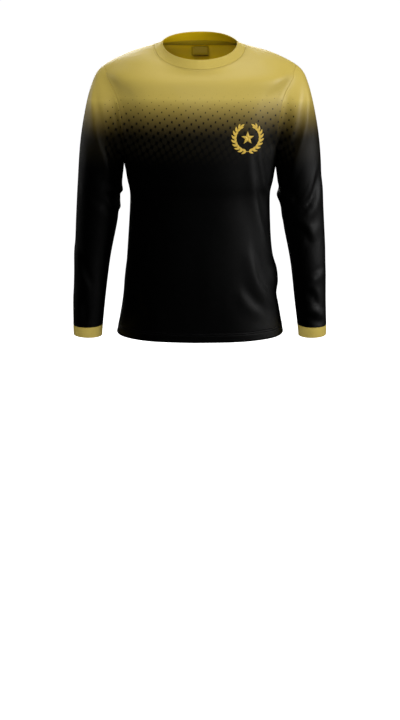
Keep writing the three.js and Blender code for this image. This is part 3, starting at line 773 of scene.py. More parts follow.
    def sew_body(self) -> None:
        """Makes the cells of the body and the neckband."""
        columns = self.cut.columns
        half = columns // 2
        last = len(self.rows) - 1
        climbs = [[0.0] * columns]
        for low, high in zip(self.rows, self.rows[1:]):
            climbs.append([
                before + ((self.points[b] - self.points[a]).length if min(a, b) >= 0 else 0.06)
                for before, a, b in zip(climbs[-1], low, high)
            ])
        for row in range(last):
            for column in range(columns):
                after = (column + 1) % columns
                beside_arm = column % half == 0 or after % half == 0
                if beside_arm and self.cut.armhole_row <= row < self.cut.armhole_row + 4:
                    continue
                front = column < half
                tag = Panel.NECKBAND if row == last - 1 else Panel.FRONT if front else Panel.BACK
                corners = [(row + 1, column), (row + 1, after), (row, after), (row, column)]
                self.cells.append(tuple(self.rows[r][c] for r, c in corners))
                self.tags.append(tag.value)
                across = [self.across(r, c, front) for r, c in corners]
                self.knit_places.append([(x, climbs[r][c]) for x, (r, c) in zip(across, corners)])

    def across(self, row: int, column: int, front: bool) -> float:
        """Distance along a row from its front or back centre line to a column, signed."""
        columns = self.cut.columns
        quarter = columns // 4
        centre = quarter if front else 3 * quarter
        steps = (column - centre + columns // 2) % columns - columns // 2
        total, here = 0.0, centre
        for _ in range(abs(steps)):
            following = (here + (1 if steps > 0 else -1)) % columns
            ends = self.rows[row][here], self.rows[row][following]
            if min(ends) >= 0:
                total += (self.points[ends[0]] - self.points[ends[1]]).length
            here = following
        return math.copysign(total, -steps) if steps else 0.0

    def sew_sleeve(self, side: Side) -> None:
        """Makes the cells of one sleeve and its cuff."""
        ring = self.armhole_rim(side)
        rings = self.sleeve_rings()
        size = self.cut.ring
        names = {half: Panel[f"{side.name}_SLEEVE_{half}"] for half in ("FRONT", "BACK")}
        gone = 0.0
        for index, (outer, inner, depth, lean) in enumerate(rings):
            following = []
            for step in range(size):
                angle = step / size * 2 * math.pi
                point = inner.lerp(outer, (1 + math.cos(angle)) / 2)
                point.y -= depth * math.sin(angle) + lean
                point.x *= side.value
                following.append(self.add(point))
            girth = [self.girth(points) for points in (ring, following)]
            length = sum((self.points[b] - self.points[a]).length for a, b in zip(ring, following)) / size
            for step in range(size):
                after = (step + 1) % size
                cell = [ring[step], ring[after], following[after], following[step]]
                spans = [(girth[0][step], gone), (girth[0][step + 1], gone),
                         (girth[1][step + 1], gone + length), (girth[1][step], gone + length)]
                if side is Side.RIGHT:
                    cell.reverse()
                    spans.reverse()
                half = "FRONT" if step < size // 2 else "BACK"
                tag = Panel[f"{side.name}_CUFF"] if index == len(rings) - 1 else names[half]
                self.cells.append(tuple(cell))
                self.tags.append(tag.value)
                self.knit_places.append(spans)
            ring, gone = following, gone + length

    def girth(self, ring: Sequence[int]) -> list[float]:
        """Running length round a ring, one longer than the ring."""
        total = [0.0]
        for a, b in zip(ring, [*ring[1:], ring[0]]):
            total.append(total[-1] + (self.points[b] - self.points[a]).length)
        return total


def cell_edges(cells: Array) -> Array:
    """The two ends of each edge of four-cornered cells, all first edges before all second ones."""
    return np.concatenate([np.stack([cells[:, i], cells[:, (i + 1) % 4]], 1) for i in range(4)])


def mesh_object(
    name: str, points: Iterable, cells: Iterable, smooth_faces: bool = True
) -> bpy.types.Object:
    """Makes an object from points and faces and links it to the scene."""
    mesh = bpy.data.meshes.new(name)
    mesh.from_pydata([tuple(map(float, p)) for p in points], [], [tuple(map(int, c)) for c in cells])
    if smooth_faces:
        mesh.polygons.foreach_set("use_smooth", [True] * len(mesh.polygons))
    made = bpy.data.objects.new(name, mesh)
    bpy.context.scene.collection.objects.link(made)
    return made


def select_only(obj: bpy.types.Object) -> None:
    """Makes one object the selected, active one."""
    for other in bpy.context.view_layer.objects:
        other.select_set(False)
    obj.select_set(True)
    bpy.context.view_layer.objects.active = obj


def apply_modifiers(obj: bpy.types.Object) -> None:
    """Applies an object's modifiers in order."""
    select_only(obj)
    for modifier in list(obj.modifiers):
        bpy.ops.object.modifier_apply(modifier=modifier.name)


def coordinates(mesh: bpy.types.Mesh) -> Array:
    """A mesh's points as rows of numbers."""
    flat = np.empty(len(mesh.vertices) * 3, np.float64)
    mesh.vertices.foreach_get("co", flat)
    return flat.reshape(-1, 3)


def add_map(mesh: bpy.types.Mesh, name: str, places: Array) -> None:
    """Gives a mesh a UV map from one place per face corner."""
    layer = mesh.uv_layers.new(name=name)
    layer.data.foreach_set("uv", np.asarray(places, np.float32).ravel())


# ---- The skin -----------------------------------------------------------------------------------


class Skin:
    """The garment's welded outer surface at working fineness."""

    def __init__(self, obj: bpy.types.Object) -> None:
        """Reads the surface from an object.

        Args:
            obj: The subdivided garment, with its panels as material slots.
        """
        self.obj = obj
        self.read()

    def read(self) -> None:
        """Takes points, cells, tags and normals from the mesh."""
        mesh = self.obj.data
        self.points = coordinates(mesh)
        count = len(mesh.polygons)
        flat = np.empty(count * 4, np.int32)
        mesh.polygons.foreach_get("vertices", flat)
        self.cells = flat.reshape(-1, 4)
        self.tags = np.empty(count, np.int32)
        mesh.polygons.foreach_get("material_index", self.tags)
        self.refresh()

    def refresh(self) -> None:
        """Works out normals and the search tree again after the points have moved."""
        a, b, c, d = (self.points[self.cells[:, i]] for i in range(4))
        self.cell_normals = np.cross(c - a, d - b)
        self.normals = np.zeros_like(self.points)
        for corner in range(4):
            np.add.at(self.normals, self.cells[:, corner], self.cell_normals)
        self.normals /= np.linalg.norm(self.normals, axis=1, keepdims=True) + 1e-12
        self.tree: Optional[BVHTree] = None

    def move(self, points: Array) -> None:
        """Puts new positions on the mesh."""
        self.points = points
        self.obj.data.vertices.foreach_set("co", points.astype(np.float32).ravel())
        self.obj.data.update()
        self.refresh()

    def subdivide(self, levels: int) -> None:
        """Subdivides the welded surface."""
        modifier = self.obj.modifiers.new("Finer", "SUBSURF")
        modifier.levels = modifier.render_levels = levels
        apply_modifiers(self.obj)
        self.read()

    def search(self, tags: Optional[set[int]] = None) -> BVHTree:
        """A search tree over the surface, or over some of its panels."""
        cells = self.cells if tags is None else self.cells[np.isin(self.tags, list(tags))]
        return BVHTree.FromPolygons([tuple(p) for p in self.points], [tuple(map(int, c)) for c in cells])

    def seam(
        self, first: set[int], second: set[int], keep: Callable[[Array], bool]
    ) -> tuple[list[int], bool]:
        """The line of points between two sets of panels.

        Args:
            first: Panels on one side.
            second: Panels on the other side, or an empty set for a free edge.
            keep: Says whether a line with these points is the wanted one.

        Returns:
            The points in order, and whether the line closes on itself.
        """
        edges = cell_edges(self.cells)
        owner = np.tile(self.tags, 4)
        order = np.lexsort((edges.max(1), edges.min(1)))
        pairs = np.sort(edges, 1)[order]
        owner = owner[order]
        same = np.r_[np.all(pairs[1:] == pairs[:-1], 1), False]
        if second:
            one, other = owner[:-1][same[:-1]], owner[1:][same[:-1]]
            lone = pairs[:-1][same[:-1]]
            ok = (np.isin(one, list(first)) & np.isin(other, list(second)))
            ok |= (np.isin(one, list(second)) & np.isin(other, list(first)))
        else:
            single = ~same & ~np.r_[False, same[:-1]]
            lone, ok = pairs[single], np.isin(owner[single], list(first))
        links: dict[int, list[int]] = {}
        for a, b in lone[ok]:
            links.setdefault(int(a), []).append(int(b))
            links.setdefault(int(b), []).append(int(a))
        while links:
            ends = [p for p, near in links.items() if len(near) == 1]
            start = ends[0] if ends else next(iter(links))
            line = [start]
            while links.get(line[-1]):
                here = line[-1]
                following = links[here].pop()
                links[following].remove(here)
                line.append(following)
            closed = len(line) > 2 and line[0] == line[-1]
            if closed:
                line.pop()
            links = {p: near for p, near in links.items() if near}
            if keep(self.points[line]):
                return line, closed
        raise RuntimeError("a seam line was not found on the skin")

    def stations(self, line: Sequence[int], tags: set[int]) -> tuple[Array, Array, Array]:
        """Places, side directions into the given panels and outward directions along a seam."""
        picked = np.isin(self.tags, list(tags))
        wanted = set(line)
        near: dict[int, list[int]] = {p: [] for p in line}
        touching = picked & np.isin(self.cells, list(wanted)).any(1)
        for index in np.flatnonzero(touching):
            for point in self.cells[index]:
                if int(point) in wanted:
                    near[int(point)].append(index)
        sides, outs = [], []
        for point in line:
            uses: dict[int, int] = {}
            out = np.zeros(3)
            far = []
            for index in near[point]:
                cell = [int(p) for p in self.cells[index]]
                at = cell.index(point)
                for step in (1, 3):
                    uses[cell[(at + step) % 4]] = uses.get(cell[(at + step) % 4], 0) + 1
                far.append(cell[(at + 2) % 4])
                out += self.cell_normals[index]
            inner = [p for p, count in uses.items() if count == 2] or far
            side = np.zeros(3)
            for p in inner:
                step = self.points[p] - self.points[point]
                side += step / (np.linalg.norm(step) + 1e-12)
            sides.append(side / (np.linalg.norm(side) + 1e-12))
            outs.append(out / (np.linalg.norm(out) + 1e-12))
        return self.points[line], np.array(sides), np.array(outs)


def fitted_skin(cut: Cut, levels: int) -> Skin:
    """Subdivides the cage so that the surface passes through the sections it was drawn through.

    Args:
        cut: The garment's sizes.
        levels: How many times it is subdivided.

    Returns:
        The skin.
    """
    cage = GarmentCage(cut)
    obj = mesh_object("garment_skin", cage.points, cage.cells)
    for panel in Panel:
        obj.data.materials.append(bpy.data.materials.new(f"cut {panel.name.lower()}"))
    obj.data.polygons.foreach_set("material_index", cage.tags)
    add_map(obj.data, KNIT_MAP, np.array(cage.knit_places))
    modifier = obj.modifiers.new("Shape", "SUBSURF")
    modifier.levels = modifier.render_levels = 1
    target = np.array([tuple(p) for p in cage.points])
    points = target.copy()
    for _ in range(7):
        evaluated = obj.evaluated_get(bpy.context.evaluated_depsgraph_get())
        reached = coordinates(evaluated.to_mesh())[: len(target)]
        evaluated.to_mesh_clear()
        points += target - reached
        obj.data.vertices.foreach_set("co", points.astype(np.float32).ravel())
        obj.data.update()
        bpy.context.view_layer.update()
    modifier.levels = modifier.render_levels = levels
    apply_modifiers(obj)
    skin = Skin(obj)
    # The print runs straight across the garment, and reads the same way from behind.
    behind = [panel.value for panel in Panel if panel.name.endswith("BACK")]
    places = skin.points[skin.cells][:, :, [0, 2]]
    places[np.isin(skin.tags, behind), :, 0] *= -1
    add_map(obj.data, PRINT_MAP, places)
    return skin


# ---- Folds --------------------------------------------------------------------------------------


class Face(Enum):
    """The side of the garment that a fold is on, with the sign of its outward Y."""

    FRONT = -1
    BACK = 1


@dataclass(frozen=True)
class Fold:
    """A soft ridge of cloth along a path of (across, height) places in millimetres.

    It is steep on the left of its path and gentle on the right, and dies out at both ends.
    """

    face: Face
    path: tuple[tuple[float, float], ...]
    height: float
    width: float
    both_sides: bool = False

    def curve(self, side: int) -> Array:
        """The path in metres, smoothed, on one side of the garment."""
        given = np.array(self.path, float) * MM * np.array([side, 1])
        run = np.r_[0.0, np.cumsum(np.linalg.norm(np.diff(given, axis=0), axis=1))]
        marks = np.linspace(0.0, run[-1], 25)
        fine = np.stack([np.interp(marks, run, given[:, axis]) for axis in (0, 1)], 1)
        for _ in range(6):
            fine[1:-1] = (fine[:-2] + 2 * fine[1:-1] + fine[2:]) / 4
        return fine


@dataclass(frozen=True)
class FoldSet:
    """The folds of the hanging garment, and the soft unevenness between them."""

    folds: tuple[Fold, ...]
    wander: float = 0.0018
    wander_size: float = 0.075
    seed: int = 7

    def lift(self, points: Array, normals: Array) -> Array:
        """How far each point of the skin moves out.

        Args:
            points: The smooth skin's points.
            normals: Its outward directions.

        Returns:
            One distance for each point, in metres.
        """
        # noise_vector starts from the clock unless it is given a seed.
        noise.seed_set(self.seed)
        total = np.zeros(len(points))
        warp = np.array([noise.noise_vector(Vector(p) / 0.05) for p in points]) * 0.004
        places = (points + warp)[:, [0, 2]]
        for fold in self.folds:
            for side in (1, -1) if fold.both_sides else (1,):
                total += self.ridge(places, normals, fold, side)
        broad = np.array([
            noise.noise(Vector((p[0], p[1], p[2] * 0.55)) / self.wander_size) for p in points])
        return total + broad * self.wander

    @staticmethod
    def ridge(places: Array, normals: Array, fold: Fold, side: int) -> Array:
        """One fold's share of the lift, on one side of the garment."""
        curve = fold.curve(side)
        step = np.diff(curve, axis=0)
        away = places[:, None, :] - curve[None, :-1, :]
        share = np.clip((away * step).sum(2) / (step * step).sum(1), 0.0, 1.0)
        offset = away - share[:, :, None] * step
        gap = np.linalg.norm(offset, axis=2)
        nearest = gap.argmin(1)
        rows = np.arange(len(places))
        distance = gap[rows, nearest]
        along = (nearest + share[rows, nearest]) / len(step)
        turn = step[nearest, 0] * offset[rows, nearest, 1] - step[nearest, 1] * offset[rows, nearest, 0]
        signed = np.where(turn * side > 0, -distance, distance)
        fade = np.sin(along * math.pi) ** 0.7
        width = fold.width * MM * (0.6 + 0.4 * fade)
        spread = np.where(signed < 0, 0.62, 1.5) * width
        trough = (signed + 1.55 * width) / (0.75 * width)
        crest = np.exp(-((signed / spread) ** 2)) - 0.5 * np.exp(-(trough ** 2))
        same_face = smooth(normals[:, 1] * fold.face.value, -0.35, 0.20)
        return fold.height * MM * fade * crest * same_face


FOLDS = FoldSet((
    # Two long crests from the chest down to the waist on the wearer's left, steep towards the side.
    Fold(
        Face.FRONT, ((116, -236), (119, -282), (123, -333), (134, -392), (151, -454), (172, -516)), 4.6, 11),
    Fold(Face.FRONT, ((130, -206), (138, -248), (144, -292), (154, -340), (160, -372)), 3.2, 6.5),
    # The curved crests above the hem on that side.
    Fold(Face.FRONT, ((112, -470), (118, -496), (128, -537), (148, -578), (178, -618)), 5.0, 12),
    Fold(Face.FRONT, ((92, -560), (102, -588), (118, -610), (152, -636)), 3.2, 11),
    Fold(Face.FRONT, ((190, -512), (180, -548), (190, -592)), 8.0, 10),
    Fold(Face.BACK, ((190, -512), (184, -548), (190, -592)), 5.0, 10),
    # Fainter ones on the other side and in the middle.
    Fold(Face.FRONT, ((-168, -610), (-140, -560), (-124, -500), (-122, -420)), 2.2, 16),
    Fold(Face.FRONT, ((-150, -380), (-136, -300), (-132, -236)), 2.4, 12),
    Fold(Face.FRONT, ((-96, -660), (-120, -610), (-160, -560)), 2.4, 14),
    Fold(Face.FRONT, ((10, -660), (24, -560), (20, -440)), 1.6, 30),
    # The sleeve's crest beside each armhole, and the valley between it and the chest.
    Fold(
        Face.FRONT, ((208, -320), (222, -262), (236, -215), (248, -150), (246, -100)), 6.0, 9, both_sides=True),
    Fold(Face.FRONT, ((184, -300), (187, -235), (194, -180), (202, -128)), -11.0, 11, both_sides=True),
    Fold(Face.FRONT, ((150, -232), (160, -180), (172, -130), (180, -96)), 1.8, 13, both_sides=True),
    # The upper arm's long valley and the crest below it, wearer's left.
    Fold(Face.FRONT, ((204, -398), (246, -380), (268, -346), (282, -290)), -5.2, 9),
    Fold(Face.FRONT, ((208, -420), (248, -400), (274, -368), (290, -316)), 4.4, 9),
    Fold(Face.FRONT, ((196, -424), (220, -424), (246, -436), (262, -470)), -4.6, 11),
    Fold(Face.FRONT, ((224, -480), (246, -452), (270, -430), (292, -420)), 2.6, 10),
    # The forearm's two notches and their crests.
    Fold(Face.FRONT, ((238, -580), (250, -565), (272, -550), (300, -538)), 4.4, 9),
    Fold(Face.FRONT, ((236, -590), (254, -582), (270, -590), (284, -606)), -4.2, 8),
    Fold(Face.FRONT, ((240, -630), (263, -618), (284, -626), (300, -636)), 4.2, 7),
    Fold(Face.FRONT, ((238, -640), (258, -640), (280, -650), (298, -662)), -3.8, 8),
    # Wearer's right: the outer edge's long highlight and its turn above the cuff.
    Fold(Face.FRONT, ((-296, -470), (-290, -520), (-278, -551), (-258, -580)), 4.4, 9),
    Fold(Face.FRONT, ((-300, -586), (-290, -610), (-288, -640), (-292, -668)), 3.4, 9),
    Fold(Face.FRONT, ((-284, -330), (-262, -366), (-228, -392), (-200, -400)), 2.0, 11),
    # Inner edges of the elbows.
    Fold(Face.FRONT, ((176, -348), (194, -358), (222, -364)), 9.0, 12),
    Fold(Face.FRONT, ((-176, -352), (-196, -346), (-218, -342)), 7.0, 8),
    Fold(Face.FRONT, ((-178, -392), (-200, -386), (-220, -380)), 6.0, 8),
    # Back of the sleeves: scallops from the inside of the elbow, and the crest at the armhole.
    Fold(Face.BACK, ((186, -322), (210, -318), (232, -300), (250, -270)), 3.4, 10, both_sides=True),
    Fold(Face.BACK, ((190, -352), (214, -352), (240, -342), (266, -316)), 4.4, 9, both_sides=True),
    Fold(Face.BACK, ((190, -376), (208, -376), (226, -370), (244, -356)), -3.6, 9, both_sides=True),
    Fold(Face.BACK, ((196, -404), (218, -408), (244, -402), (264, -386)), 3.6, 9, both_sides=True),
    Fold(Face.BACK, ((206, -300), (226, -250), (244, -190), (252, -130)), 3.6, 9, both_sides=True),
    Fold(Face.BACK, ((182, -284), (188, -225), (198, -170), (206, -120)), -5.0, 11, both_sides=True),
    Fold(Face.BACK, ((296, -470), (280, -520), (250, -560)), 2.6, 12, both_sides=True),
    Fold(Face.BACK, ((298, -590), (276, -616), (246, -630)), 2.4, 9, both_sides=True),
    # Back of the body: diagonals from the waist, and soft columns down the middle.
    Fold(Face.BACK, ((-184, -556), (-158, -606), (-120, -650)), 3.6, 11),
    Fold(Face.BACK, ((186, -500), (170, -545), (150, -590), (122, -640)), 4.6, 11),
    Fold(Face.BACK, ((188, -560), (172, -602), (146, -656)), 3.6, 10),
    Fold(Face.BACK, ((-186, -520), (-160, -568), (-126, -624)), 3.4, 12),
    Fold(Face.BACK, ((58, -300), (52, -400), (60, -500), (74, -600)), 2.0, 26),
    Fold(Face.BACK, ((-66, -300), (-62, -420), (-70, -560)), 1.8, 28),
    Fold(Face.BACK, ((140, -300), (134, -380), (142, -470)), 2.4, 14),
    Fold(Face.BACK, ((-140, -300), (-134, -380), (-142, -470)), 2.4, 14),
))


# ---- Panels -------------------------------------------------------------------------------------


@dataclass(frozen=True)
class ClothThickness:
    """Thicknesses in metres."""

    single: float = 0.0010
    doubled: float = 0.0022
    seam_gap: float = 0.0004


class Tailor:
    """Parts the draped skin into panels and sews every other piece to it."""

    def __init__(self, skin: Skin, finishes: Finishes) -> None:
        """Prepares the panels' seams.

        Args:
            skin: The draped and folded garment.
            finishes: The materials.
        """
        self.skin = skin
        self.finishes = finishes
        self.thickness = ClothThickness()
        self.tree = skin.search()
        self.torso_tree = skin.search(TORSO)

    # -- panels

    def panel(self, name: str, tags: set[int], thick: float, material: bpy.types.Material,
              reverse: bpy.types.Material, double_hem: bool = False) -> bpy.types.Object:
        """Makes one panel of cloth with its thickness.

        Args:
            name: The piece's name.
            tags: The parts of the skin that it is made of.
            thick: Its thickness in metres.
            material: Its finish.
            reverse: The finish of its inner face.
            double_hem: Whether its lowest 25 mm are turned up inside.

        Returns:
            The panel.
        """
        skin = self.skin
        chosen = np.isin(skin.tags, list(tags))
        cells = skin.cells[chosen]
        used, inverse = np.unique(cells, return_inverse=True)
        local = inverse.reshape(cells.shape)
        points = skin.points[used].copy()
        rim = self.rim_shift(cells, chosen)
        index_of = {int(p): i for i, p in enumerate(used)}
        for point, shift in rim.items():
            points[index_of[point]] += shift * self.thickness.seam_gap / 2
        piece = mesh_object(name, points, local)
        for map_name in (PRINT_MAP, KNIT_MAP):
            flat = np.empty(len(skin.cells) * 8, np.float32)
            skin.obj.data.uv_layers[map_name].data.foreach_get("uv", flat)
            add_map(piece.data, map_name, flat.reshape(-1, 4, 2)[chosen])
        piece.data.materials.append(material)
        piece.data.materials.append(reverse)
        solid = piece.modifiers.new("Thickness", "SOLIDIFY")
        solid.offset = -1.0
        solid.material_offset = 1
        solid.thickness = thick
        if double_hem:
            self.thicken_hem(piece, solid, used)
        bevel = piece.modifiers.new("Rolled edge", "BEVEL")
        bevel.width = thick * 0.42
        bevel.segments = 2
        bevel.limit_method = "ANGLE"
        bevel.angle_limit = math.radians(60)
        apply_modifiers(piece)
        return piece

    def rim_shift(self, cells: Array, chosen: Array) -> dict[int, Array]:
        """Directions in which a panel's edge points draw back from the next panel."""
        skin = self.skin
        edges = np.sort(cell_edges(cells), 1)
        unique, counts = np.unique(edges, axis=0, return_counts=True)
        rim = np.unique(unique[counts == 1])
        centres = skin.points[skin.cells].mean(1)
        inner = np.zeros_like(skin.points)
        outer = np.zeros_like(skin.points)
        for corner in range(4):
            step = centres - skin.points[skin.cells[:, corner]]
            step /= np.linalg.norm(step, axis=1, keepdims=True)
            np.add.at(inner, skin.cells[chosen, corner], step[chosen])
            np.add.at(outer, skin.cells[~chosen, corner], step[~chosen])
        shifts = {}
        for point in rim:
            parts = [v / (np.linalg.norm(v) + 1e-9) for v in (inner[point], outer[point])]
            apart = parts[0] - parts[1]
            shifts[int(point)] = apart / (np.linalg.norm(apart) + 1e-9)
        return shifts

    def thicken_hem(self, piece: bpy.types.Object, solid: bpy.types.Modifier, used: Array) -> None:
        """Doubles the cloth where the hem is turned up inside."""
        mesh = piece.data
        places = np.empty(len(mesh.loops) * 2, np.float32)
        mesh.uv_layers[KNIT_MAP].data.foreach_get("uv", places)
        corner_points = np.empty(len(mesh.loops), np.int32)
        mesh.loops.foreach_get("vertex_index", corner_points)
        climb = np.full(len(used), 1.0)
        np.minimum.at(climb, corner_points, places.reshape(-1, 2)[:, 1])
        group = piece.vertex_groups.new(name="turned up")
        for point, value in enumerate(climb):
            group.add([point], 1.0 if value < 0.026 else 0.5, "REPLACE")
        solid.thickness = 2 * self.thickness.single
        solid.vertex_group = group.name
        solid.thickness_vertex_group = 0.0

    # -- bands and lines

    def on_skin(self, place: Array, out: Array, lift: float, tree: Optional[BVHTree] = None) -> Array:
        """The place nearest to a point on the skin, lifted off it along the local normal."""
        hit, normal, _, _ = (tree or self.tree).find_nearest(Vector(place))
        if normal.dot(Vector(out)) < 0:
            normal = Vector(out)
        return np.array(hit) + np.array(normal) * lift

    def band(self, name: str, line: tuple[Array, Array, Array], closed: bool, spread: tuple[float, float],
             lift: float, thick: float, material: bpy.types.Material, tree: Optional[BVHTree] = None,
             slack: float = 0.0) -> bpy.types.Object:
        """A flat band along a seam.

        Args:
            name: The piece's name.
            line: Places, side directions and outward directions of its stations.
            closed: Whether it closes on itself.
            spread: Distances from the seam to its two edges.
            lift: Distance off the skin, negative inside.
            thick: Its thickness.
            material: Its finish.
            tree: What it lies on, where that isn't the whole skin.
            slack: How much further off its far edge hangs.

        Returns:
            The band.
        """
        shares = (0.0, 0.5, 1.0)
        sign = math.copysign(1.0, lift)
        points, places = [], []
        run = 0.0
        at, sides, outs = line
        for index in range(len(at)):
            run += np.linalg.norm(at[index] - at[index - 1]) if index else 0.0
            for layer in (0.0, thick):
                for share in shares if layer == 0.0 else shares[::-1]:
                    across = mix(*spread, share)
                    rise = lift + sign * (layer + slack * share)
                    points.append(self.on_skin(at[index] + sides[index] * across, outs[index], rise, tree))
                    places.append((run, across))
        return self.tube(name, points, places, len(at), 2 * len(shares), closed, material)

    @staticmethod
    def tube(name: str, points: Sequence, places: Sequence, stations: int, around: int, closed: bool,
             material: bpy.types.Material) -> bpy.types.Object:
        """Closes rings of points into one solid strip."""
        faces = []
        last = stations if closed else stations - 1
        for station in range(last):
            here, after = station * around, (station + 1) % stations * around
            for step in range(around):
                following = (step + 1) % around
                faces.append((here + step, after + step, after + following, here + following))
        if not closed:
            faces.append(tuple(range(around)))
            faces.append(tuple(reversed(range((stations - 1) * around, stations * around))))
        piece = mesh_object(name, points, faces)
        select_only(piece)
        bpy.ops.object.mode_set(mode="EDIT")
        bpy.ops.mesh.select_all(action="SELECT")
        bpy.ops.mesh.normals_make_consistent(inside=False)
        bpy.ops.object.mode_set(mode="OBJECT")
        corners = [places[loop.vertex_index] for loop in piece.data.loops]
        add_map(piece.data, KNIT_MAP, np.array(corners))
        piece.data.materials.append(material)
        bevel = piece.modifiers.new("Soft edges", "BEVEL")
        bevel.width = 0.0003
        bevel.segments = 2
        bevel.limit_method = "ANGLE"
        bevel.angle_limit = math.radians(50)
        apply_modifiers(piece)
        return piece

    def stitches(self, name: str, line: tuple[Array, Array, Array], closed: bool, distance: float,
                 material: bpy.types.Material, pitch: float = 0.0034) -> bpy.types.Object:
        """A row of single stitches beside a seam.

        Args:
            name: The piece's name.
            line: The seam's stations.
            closed: Whether the row goes all the way round.
            distance: How far from the seam it runs.
            material: The thread's finish.
            pitch: Distance from one stitch to the next.

        Returns:
            All the stitches as one object.
        """
        at, sides, outs = line
        path = np.array([self.on_skin(p + s * distance, o, 0.0) for p, s, o in zip(at, sides, outs)])
        if closed:
            path, outs = np.vstack([path, path[:1]]), np.vstack([outs, outs[:1]])
        run = np.r_[0.0, np.cumsum(np.linalg.norm(np.diff(path, axis=0), axis=1))]
        count = max(int(run[-1] / pitch), 1)
        places = np.linspace(0.0, run[-1], count + 1)
        centre = np.stack([np.interp(places, run, path[:, i]) for i in range(3)], 1)
        normal = np.stack([np.interp(places, run, outs[:, i]) for i in range(3)], 1)
        points, faces, spots = [], [], []
        # Place along the stitch, thickness and rise: a grain that dips into the cloth at both ends.
        rings = (
            (0.06, 0.30, -0.10),
            (0.24, 0.85, 0.16),
            (0.5, 1.0, 0.24),
            (0.76, 0.85, 0.16),
            (0.94, 0.30, -0.10),
        )
        around = 6
        radius = 0.00032
        for index in range(count):
            start, end = centre[index], centre[index + 1]
            up = normal[index] / np.linalg.norm(normal[index])
            across = np.cross(end - start, up)
            across /= np.linalg.norm(across) + 1e-12
            first = len(points)
            for share, girth, rise in rings:
                middle = start + (end - start) * share + up * (rise * MM)
                for step in range(around):
                    angle = step / around * 2 * math.pi
                    outwards = across * math.cos(angle) + up * math.sin(angle)
                    points.append(middle + outwards * radius * girth)
                    spots.append((share * pitch, angle * radius))
            for ring in range(len(rings) - 1):
                for step in range(around):
                    a, b = first + ring * around, first + (ring + 1) * around
                    after = (step + 1) % around
                    faces.append((a + step, b + step, b + after, a + after))
            faces.append(tuple(first + step for step in range(around)))
            last = first + (len(rings) - 1) * around
            faces.append(tuple(last + step for step in reversed(range(around))))
        piece = mesh_object(name, points, faces)
        select_only(piece)
        bpy.ops.object.mode_set(mode="EDIT")
        bpy.ops.mesh.select_all(action="SELECT")
        bpy.ops.mesh.normals_make_consistent(inside=False)
        bpy.ops.object.mode_set(mode="OBJECT")
        add_map(piece.data, KNIT_MAP, np.array([spots[loop.vertex_index] for loop in piece.data.loops]))
        piece.data.materials.append(material)
        return piece


def trimmed(
    line: tuple[Array, Array, Array], start_cut: float, end_cut: float
) -> tuple[Array, Array, Array]:
    """Shortens an open line of stations at both ends.

    Args:
        line: Places, side directions and outward directions.
        start_cut: Length taken off the start.
        end_cut: Length taken off the end.

    Returns:
        The shorter line, with new stations at its ends.
    """
    at = line[0]
    run = np.r_[0.0, np.cumsum(np.linalg.norm(np.diff(at, axis=0), axis=1))]
    low, high = start_cut, run[-1] - end_cut
    marks = np.r_[low, run[(run > low) & (run < high)], high]
    return tuple(np.stack([np.interp(marks, run, part[:, i]) for i in range(3)], 1) for part in line)


# ---- The chest emblem ---------------------------------------------------------------------------


